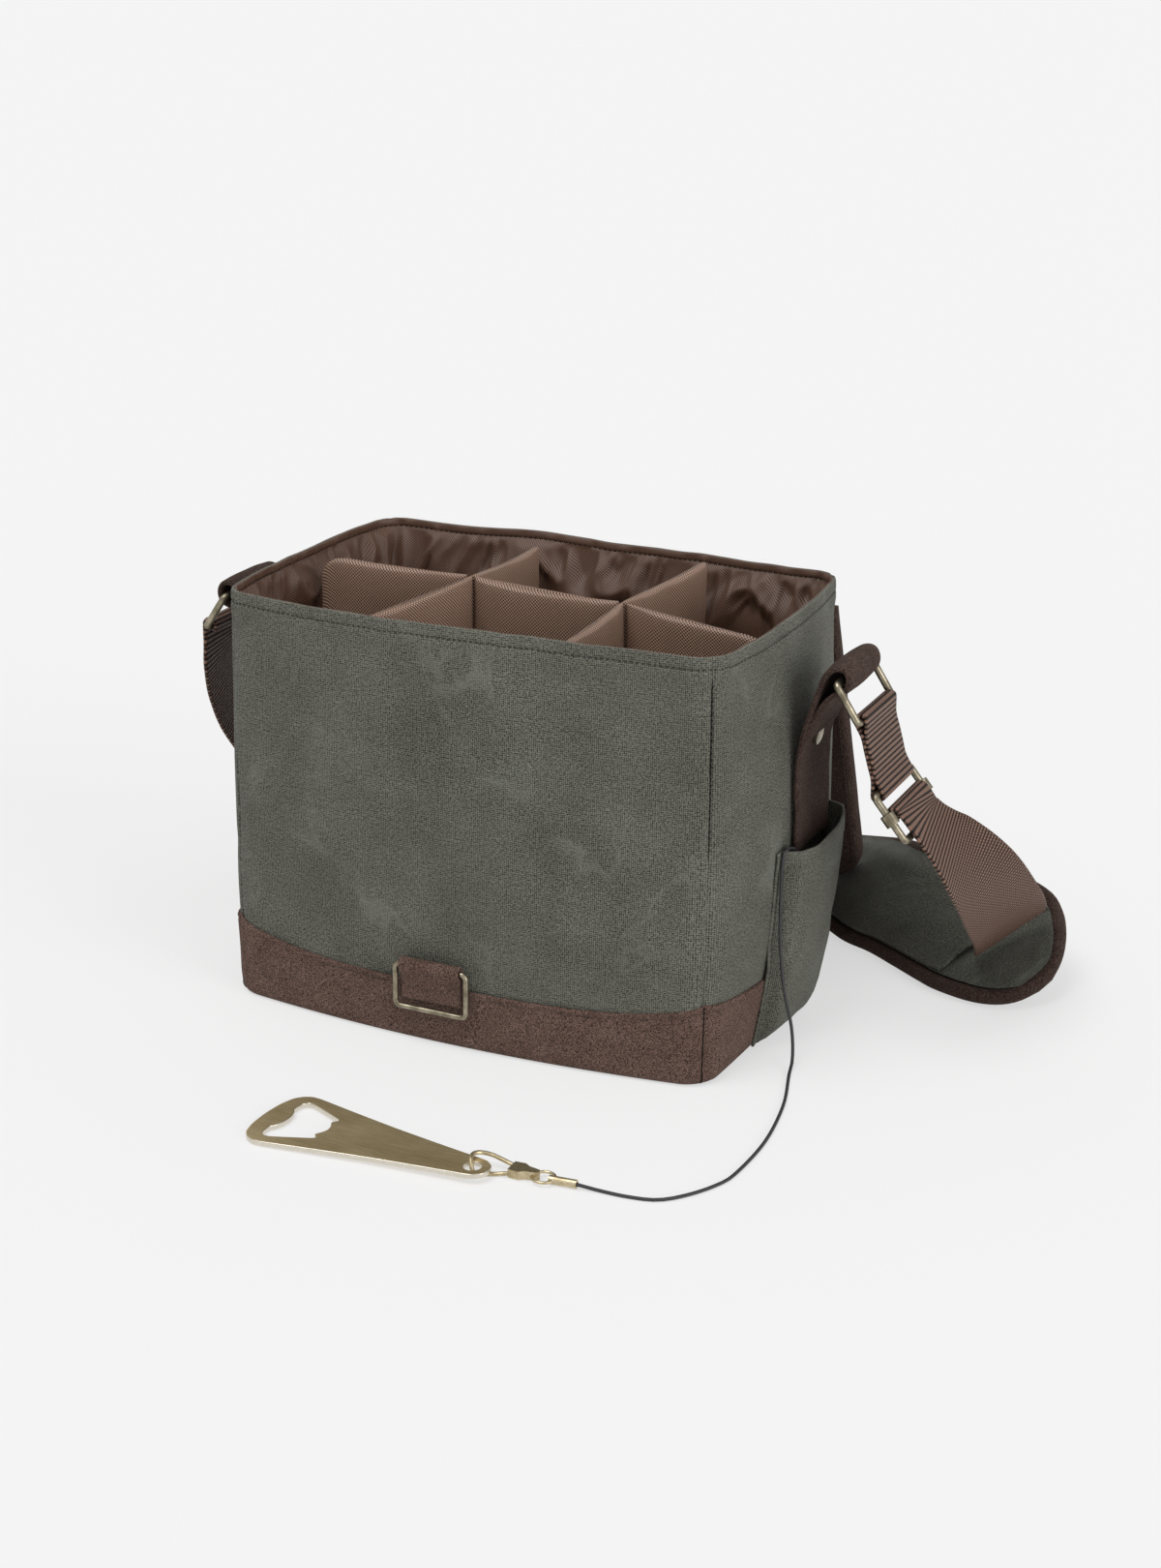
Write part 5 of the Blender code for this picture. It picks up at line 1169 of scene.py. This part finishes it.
def pillow(start, end, tops, pinch_start, pinch_end, seed):
    """Padded upright panel from start to end: rows of closed loops round it, up to its rounded top."""
    start, end = np.array(start, float), np.array(end, float)
    length = np.linalg.norm(end - start)
    along = (end - start) / length
    side = np.array([-along[1], along[0]])
    s = np.concatenate([[0.0], np.sort(1 - np.cos(np.linspace(0, math.pi, 30)))[1:-1] / 2, [1.0]])
    top = np.interp(s, *zip(*tops)) * MM
    half = DIVIDER_THICK / 2 * (1 - (1 - pinch_start) * np.exp(-s * length / PINCH_REACH)
                                - (1 - pinch_end) * np.exp(-(1 - s) * length / PINCH_REACH))
    past = np.clip(np.abs(2 * s - 1) * length / 2 - (length / 2 - PANEL_EDGE), 0, None) / PANEL_EDGE
    edge = np.sqrt(np.clip(1 - past ** 2, 0.05, 1))
    rows = [(DIVIDER_LOW + level * (top - PANEL_CROWN - DIVIDER_LOW), 1.0) for level in PANEL_LEVELS]
    rows += [(top - drop * MM, share) for drop, share in PANEL_TOP]
    middle = start + np.outer(s * length, along)
    grid = []
    for z, share in rows:
        wrinkle = ripples(flat_points(s * length, z) + seed, *PANEL_LAYERS) * MM * edge * (share > 0.9)
        swell = half * edge * share
        far, near = middle - np.outer(swell - wrinkle, side), middle + np.outer(swell + wrinkle, side)
        grid.append(np.vstack([np.column_stack([far, z]), np.column_stack([near, z])[::-1]]))
    return np.array(grid)


def leaned(grid):
    """The slack panels lean: their crossings pull towards the middle of the bag as they rise."""
    grid = np.array(grid, float)
    x, y, z = grid[..., 0], grid[..., 1], grid[..., 2]
    pull = np.interp(x, LONG_KNOTS, LEAN)
    middle = 1 - np.clip(np.abs(y) / CROSS_REACH, 0, 1) ** 1.2
    grid[..., 0] = x + pull * middle * ease(z, 10 * MM, 210 * MM)
    return grid


def add_panels(name, grids, node):
    """Leaning panels joined into one padded piece."""
    points, faces, corners, count = [], [], [], 0
    for grid in grids:
        rows, columns = grid.shape[:2]
        faces += [[count + i for i in face] for face in grid_faces(rows, columns, wrap=True, caps=True)]
        grid = leaned(grid)
        corners.append(cloth_corners(grid_uv(grid, wrap=True), columns, caps=True))
        points.append(grid.reshape(-1, 3))
        count += rows * columns
    made = place_mesh(name, np.vstack(points), faces, PADDED_NYLON, np.vstack(corners))
    fit(made, "dividers", node, slot="lining")


long_parts = []
for n, most in enumerate(LONG_SAGS):
    a, b = LONG_KNOTS[n] + (n > 0) * CROSS_GAP, LONG_KNOTS[n + 1] - (n < 2) * CROSS_GAP
    tops = [(p, long_top(a + p * (b - a)) - most * math.sin(p * math.pi) ** 0.8)
            for p in np.linspace(0, 1, 90)]
    long_parts.append(pillow((a, 0), (b, 0), tops, PINCH if n else 0.9, PINCH if n < 2 else 0.9, 2.0 + n))
add_panels("long_divider_padding", long_parts, "divider_long")
for n, (node, x, degrees) in enumerate(CROSSES):
    lean = math.radians(90 + degrees)
    heading = np.array([math.cos(lean), math.sin(lean)])
    middle, height = np.array([x, 0.0]), long_top(x)
    parts = []
    for sign, far_top in ((-1, FRONT_TOP_HEIGHT), (1, BACK_TOPS[n])):
        near, far = middle + heading * sign * CROSS_START, middle + heading * sign * CROSS_REACH
        tops = [(p, height + (far_top - height) * p - CROSS_SAG * math.sin(p * math.pi))
                for p in np.linspace(0, 1, 12)]
        parts.append(pillow(near, far, tops, PINCH, 0.8, 8.0 + 2 * n + sign))
    add_panels(f"cross_padding_{n}", parts, node)


# Lid, drawn closed and turned open

HINGE = Vector((0, 106 * MM, 231.5 * MM))
LID_SWING = Matrix.Rotation(math.radians(-253), 4, "X")
LID_TURN = np.array(Matrix.Translation(HINGE) @ LID_SWING @ Matrix.Translation(-HINGE))
LID_HALF_FRONT, LID_HALF_BACK, LID_CORNER = 139 * MM, 133 * MM, 20 * MM
LID_BACK, LID_FRONT = HINGE.y - 25 * MM, HINGE.y - 211 * MM
LID_INSET, LID_TOP, LID_UNDER = 1.2 * MM, 242.4 * MM, 234.6 * MM
LID_SHARES = np.concatenate([np.linspace(1, 0.9, 6), np.linspace(0.86, 0.02, 22), [0.001]])
LID_LAYERS = ((0.8, (0.05, 0.035, 1), 0), (0.35, (0.014, 0.014, 1), 3))
LID_BORDER = [(7, 233.4), (3.4, 233.1), (1.2, 233.4), (0.0, 234.6), (-0.5, 236.5), (-0.6, 238.5),
              (-0.5, 240.8), (0.2, 242.6), (1.6, 243.8), (4, 244.2), (8, 244.4), (12, 244.6), (16.4, 244.8),
              (17.6, 244.6), (18.0, 244.0)]
LID_STITCHES = ((15.6, 244.95, 1), (3.0, 244.25, 1), (5.4, 233.1, -1))


def opened(points):
    return np.asarray(points) @ LID_TURN[:3, :3].T + LID_TURN[:3, 3]


def lid_outline(inset, count):
    back, front = LID_BACK - inset, LID_FRONT + inset
    radius = LID_CORNER - inset
    half_back, half_front = LID_HALF_BACK - inset, LID_HALF_FRONT - inset
    right = [(half_back, back)]
    for turn in np.linspace(0, math.pi / 2, 12):
        right.append((half_front - radius * (1 - math.cos(turn)), front + radius * (1 - math.sin(turn))))
    closed = looped(right + [(-x, y) for x, y in reversed(right)])
    run = run_along(closed)
    return sampled(closed, run, np.linspace(0, run[-1], count, endpoint=False))


def add_lid_skin(name, level, puff, material, seed, *replaced, slot, down=False):
    """Softly puffed face of the lid; down is the one that faces into the bag."""
    outline = lid_outline(LID_INSET, 160)
    middle = outline.mean(axis=0)
    side = -1 if down else 1
    rows = []
    for share in LID_SHARES:
        xy = middle + (outline - middle) * share
        wrinkle = ripples(flat_points(*xy.T) + seed, *LID_LAYERS)
        rise = puff * (1 - share ** 6) + wrinkle * (1 - share ** 8)
        rows.append(np.column_stack([xy, level + side * rise * MM]))
    grid = np.array(rows)
    uv = np.concatenate([grid, grid[:, :1]], axis=1)[..., :2]
    return sewn(name, opened(grid), material, "lid", *replaced, slot=slot, uv=uv, wrap=True,
                thickness=1.0 * MM, offset=-side)


lid_top = add_lid_skin("lid_canvas", LID_TOP, 1.6, CANVAS, 60, "lid_cover", "lid_foam", slot="canvas")
add_lid_skin("lid_nylon", LID_UNDER, 1.2, NYLON, 70, "lid_lining", slot="lining", down=True)
edge_rows = []
for inset, level in LID_BORDER:
    xy = lid_outline(inset * MM, 280)
    wobble = 0.3 * MM * noise(flat_points(*xy.T) + (0, 0, level * MM), 0.014, 80)
    edge_rows.append(np.column_stack([xy, level * MM + wobble])[::-1])
edge_grid = np.array(edge_rows)
# The lid's edge is in the darker copy of the suede: painted shade.
sewn("lid_suede_edge", opened(edge_grid), SHADED_DARK_SUEDE, "lid", "lid_edge", slot="suede", wrap=True,
     thickness=0.8 * MM)
for n, (inset, level, sign) in enumerate(LID_STITCHES):
    line = lid_outline(inset * MM, 260)
    path = opened(flat_points(*line.T) + (0, 0, level * MM))
    stitches(f"lid_edge_stitches_{n}", path, LID_TURN[:3, 2] * sign, "lid", BROWN_THREAD, closed=True)


# Hinge strip: sewn flat on the back wall, then folded over and down to the lid

TAPE_HALF = 118 * MM
FLAP_FOLD = [(219, 1.9), (223, 2.0), (225.8, 2.4), (227.2, 3.6), (226.6, 5.0), (224.4, 5.8)]
tape_x = np.linspace(TAPE_HALF, -TAPE_HALF, 61)
tape_grid = np.array([wall_spot("back", tape_x, z, 1.5 * MM) for z in np.linspace(211, 226, 9) * MM])
tape_grid[..., 1] += 0.25 * MM * noise(tape_grid, 0.012, 62)
sewn("suede_hinge_tape", tape_grid, SUEDE, "bag", "hinge_tape", slot="suede", thickness=1.2 * MM)
_, low_y, low_z = opened((0, LID_BACK + LID_INSET, 239 * MM))
flap_rows = [wall_spot("back", tape_x, z, out) for z, out in mm(FLAP_FOLD)]
folded, low = flap_rows[-1], flat_points(tape_x, low_y) + (0, 0, low_z)
flap_rows += [folded + (low - folded) * share for share in (0.3, 0.55, 0.8, 1.0)]
flap_grid = np.array(flap_rows)
flap_grid[..., 1] += 0.3 * MM * noise(flap_grid, 0.016, 65)
flap = skin("hinge_flap", flap_grid, SUEDE, thickness=1.1 * MM)
flap.modifiers.new("finer", "SUBSURF").levels = 1
baked(flap)
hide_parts("lid_hinge_flap")
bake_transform(flap)
softened("closure_webbing", "closure_strap", WEBBING, 0.7 * MM, 2, "closure", "webbing")


# Pieces kept from the frame

KEPT = {"base_board": BOARD, "band_rivet_right": BRASS, "band_rivet_left": BRASS, "slider_bar": BRASS,
        "ferrule": BRIGHT_BRASS, "clasp_body": BRIGHT_BRASS, "reel_housing": PLASTIC, "reel_cover": PLASTIC,
        "reel_spool": PLASTIC, "hook_patch": PATCH, "loop_patch": PATCH}
for node, material in KEPT.items():
    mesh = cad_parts[node].data
    mesh.materials.clear()
    mesh.materials.append(material)
    if material is not PATCH:
        mesh.polygons.foreach_set("use_smooth", [True] * len(mesh.polygons))
        mesh.set_sharp_from_angle(angle=math.radians(35))


# Fittings of the cord

LINK_CENTRE, LINK_RADIUS = mm((108.2, -215.9, 2.6)), 5.6 * MM
CLASP_HOOK = [(90.6, -212.9, 3.6), (85, -212.7, 5.0), (79, -213.0, 6.6), (74.2, -214.8, 7.6),
              (71.9, -217.8, 8.0), (71.9, -221.0, 7.8), (73.0, -223.4, 7.0), (74.0, -224.9, 5.0),
              (75.0, -225.7, 3.2), (76.6, -225.4, 1.7), (79.4, -223.9, 1.35), (85, -221.0, 1.35),
              (90.6, -219.4, 2.2)]


def circle(radius, count):
    angles = np.linspace(0, 2 * math.pi, count)[:-1]
    return radius * np.column_stack([np.cos(angles), np.sin(angles), np.zeros(count - 1)])


link_route = LINK_CENTRE + circle(LINK_RADIUS, 48)
link_ring = wire("split_ring", link_route, 0.8 * MM, "bag", "link_ring", BRIGHT_BRASS)
clasp_route = smooth_route(mm(CLASP_HOOK), 70)
clasp_wire = wire("clasp_loop", clasp_route, 1.1 * MM, "bag", "clasp_wire", BRIGHT_BRASS, closed=False)


# Bottle opener: half outlines of the plate and of its window, with the middle of the hole as origin

HOLE, FAR = mm((74.9, -225.6)), mm((-45.5, -217.0))
HOLE_RADIUS = 4.6
PLATE_THICK, PLATE_BEVEL, TILT = 2.6 * MM, 0.4 * MM, math.radians(1.3)
FLAT_ENOUGH = 0.97
PLATE_HALF = [(-9.2, 0), (-8.2, 4.6), (-4.2, 8.0), (0, 9.0), (25, 12.4), (55, 17.0), (85, 22.6), (105, 26.6),
              (110.4, 26.8), (115, 24.6), (118.4, 20.4), (120.6, 12), (121.4, 0)]
WINDOW_HALF = [(83.2, 0), (84.0, 3.4), (86.4, 7.4), (83.6, 10.2), (85.2, 11.6), (104.5, 19.6), (108, 19.8),
               (110.4, 17.6), (111.0, 10.6), (109.0, 8.4), (107.6, 4.4), (107.2, 0)]


def rounded(half):
    """Closed outline of a half and its mirror image, with each corner turned in a few steps."""
    points = np.array(half + [(u, -v) for u, v in reversed(half) if v > 0], float)
    out = []
    for before, here, after in zip(np.roll(points, 1, axis=0), points, np.roll(points, -1, axis=0)):
        a = here + (before - here) * 0.3
        b = here + (after - here) * 0.3
        for t in np.linspace(0, 1, 5):
            out.append((1 - t) ** 2 * a + 2 * t * (1 - t) * here + t * t * b)
    return flat_points(*np.array(out).T)


def plate_mesh():
    """The plate lying flat, with its distances from the hole as places on the cloth."""
    curve = bpy.data.curves.new("plate_outline", "CURVE")
    curve.dimensions = "2D"
    curve.fill_mode = "BOTH"
    curve.extrude = PLATE_THICK / 2 - PLATE_BEVEL
    curve.bevel_depth = PLATE_BEVEL
    curve.bevel_resolution = 3
    curve.offset = -PLATE_BEVEL
    for loop in (rounded(PLATE_HALF), rounded(WINDOW_HALF), circle(HOLE_RADIUS, 40)):
        add_spline(curve, mm(loop), True)
    holder = linked("plate_holder", curve)
    mesh = bpy.data.meshes.new_from_object(holder)
    bpy.data.objects.remove(holder)
    layer = mesh.uv_layers.new(name="cloth")
    for corner in mesh.loops:
        layer.data[corner.index].uv = mesh.vertices[corner.vertex_index].co[:2]
    return mesh


heading = unit(FAR - HOLE)
plate_along = np.array([*(heading * math.cos(TILT)), -math.sin(TILT)])
plate_side = np.array([-heading[1], heading[0], 0])
plate_up = np.cross(plate_along, plate_side)
place = Matrix(np.column_stack([plate_along, plate_side, plate_up]).tolist()).to_4x4()
place.translation = (*HOLE, 0.3 * MM + PLATE_THICK / 2 + PLATE_HALF[-1][0] * MM * math.sin(TILT))
mesh = plate_mesh()
mesh.transform(place)
mesh.materials.clear()
mesh.materials.append(PLATE)
mesh.materials.append(PLATE_EDGE)
for face in mesh.polygons:
    face.use_smooth = True
    face.material_index = int(abs(face.normal.dot(Vector(plate_up))) < FLAT_ENOUGH)
mesh.set_sharp_from_angle(angle=math.radians(50))
fit(linked("opener_plate", mesh), "opener", "opener", slot="brass")
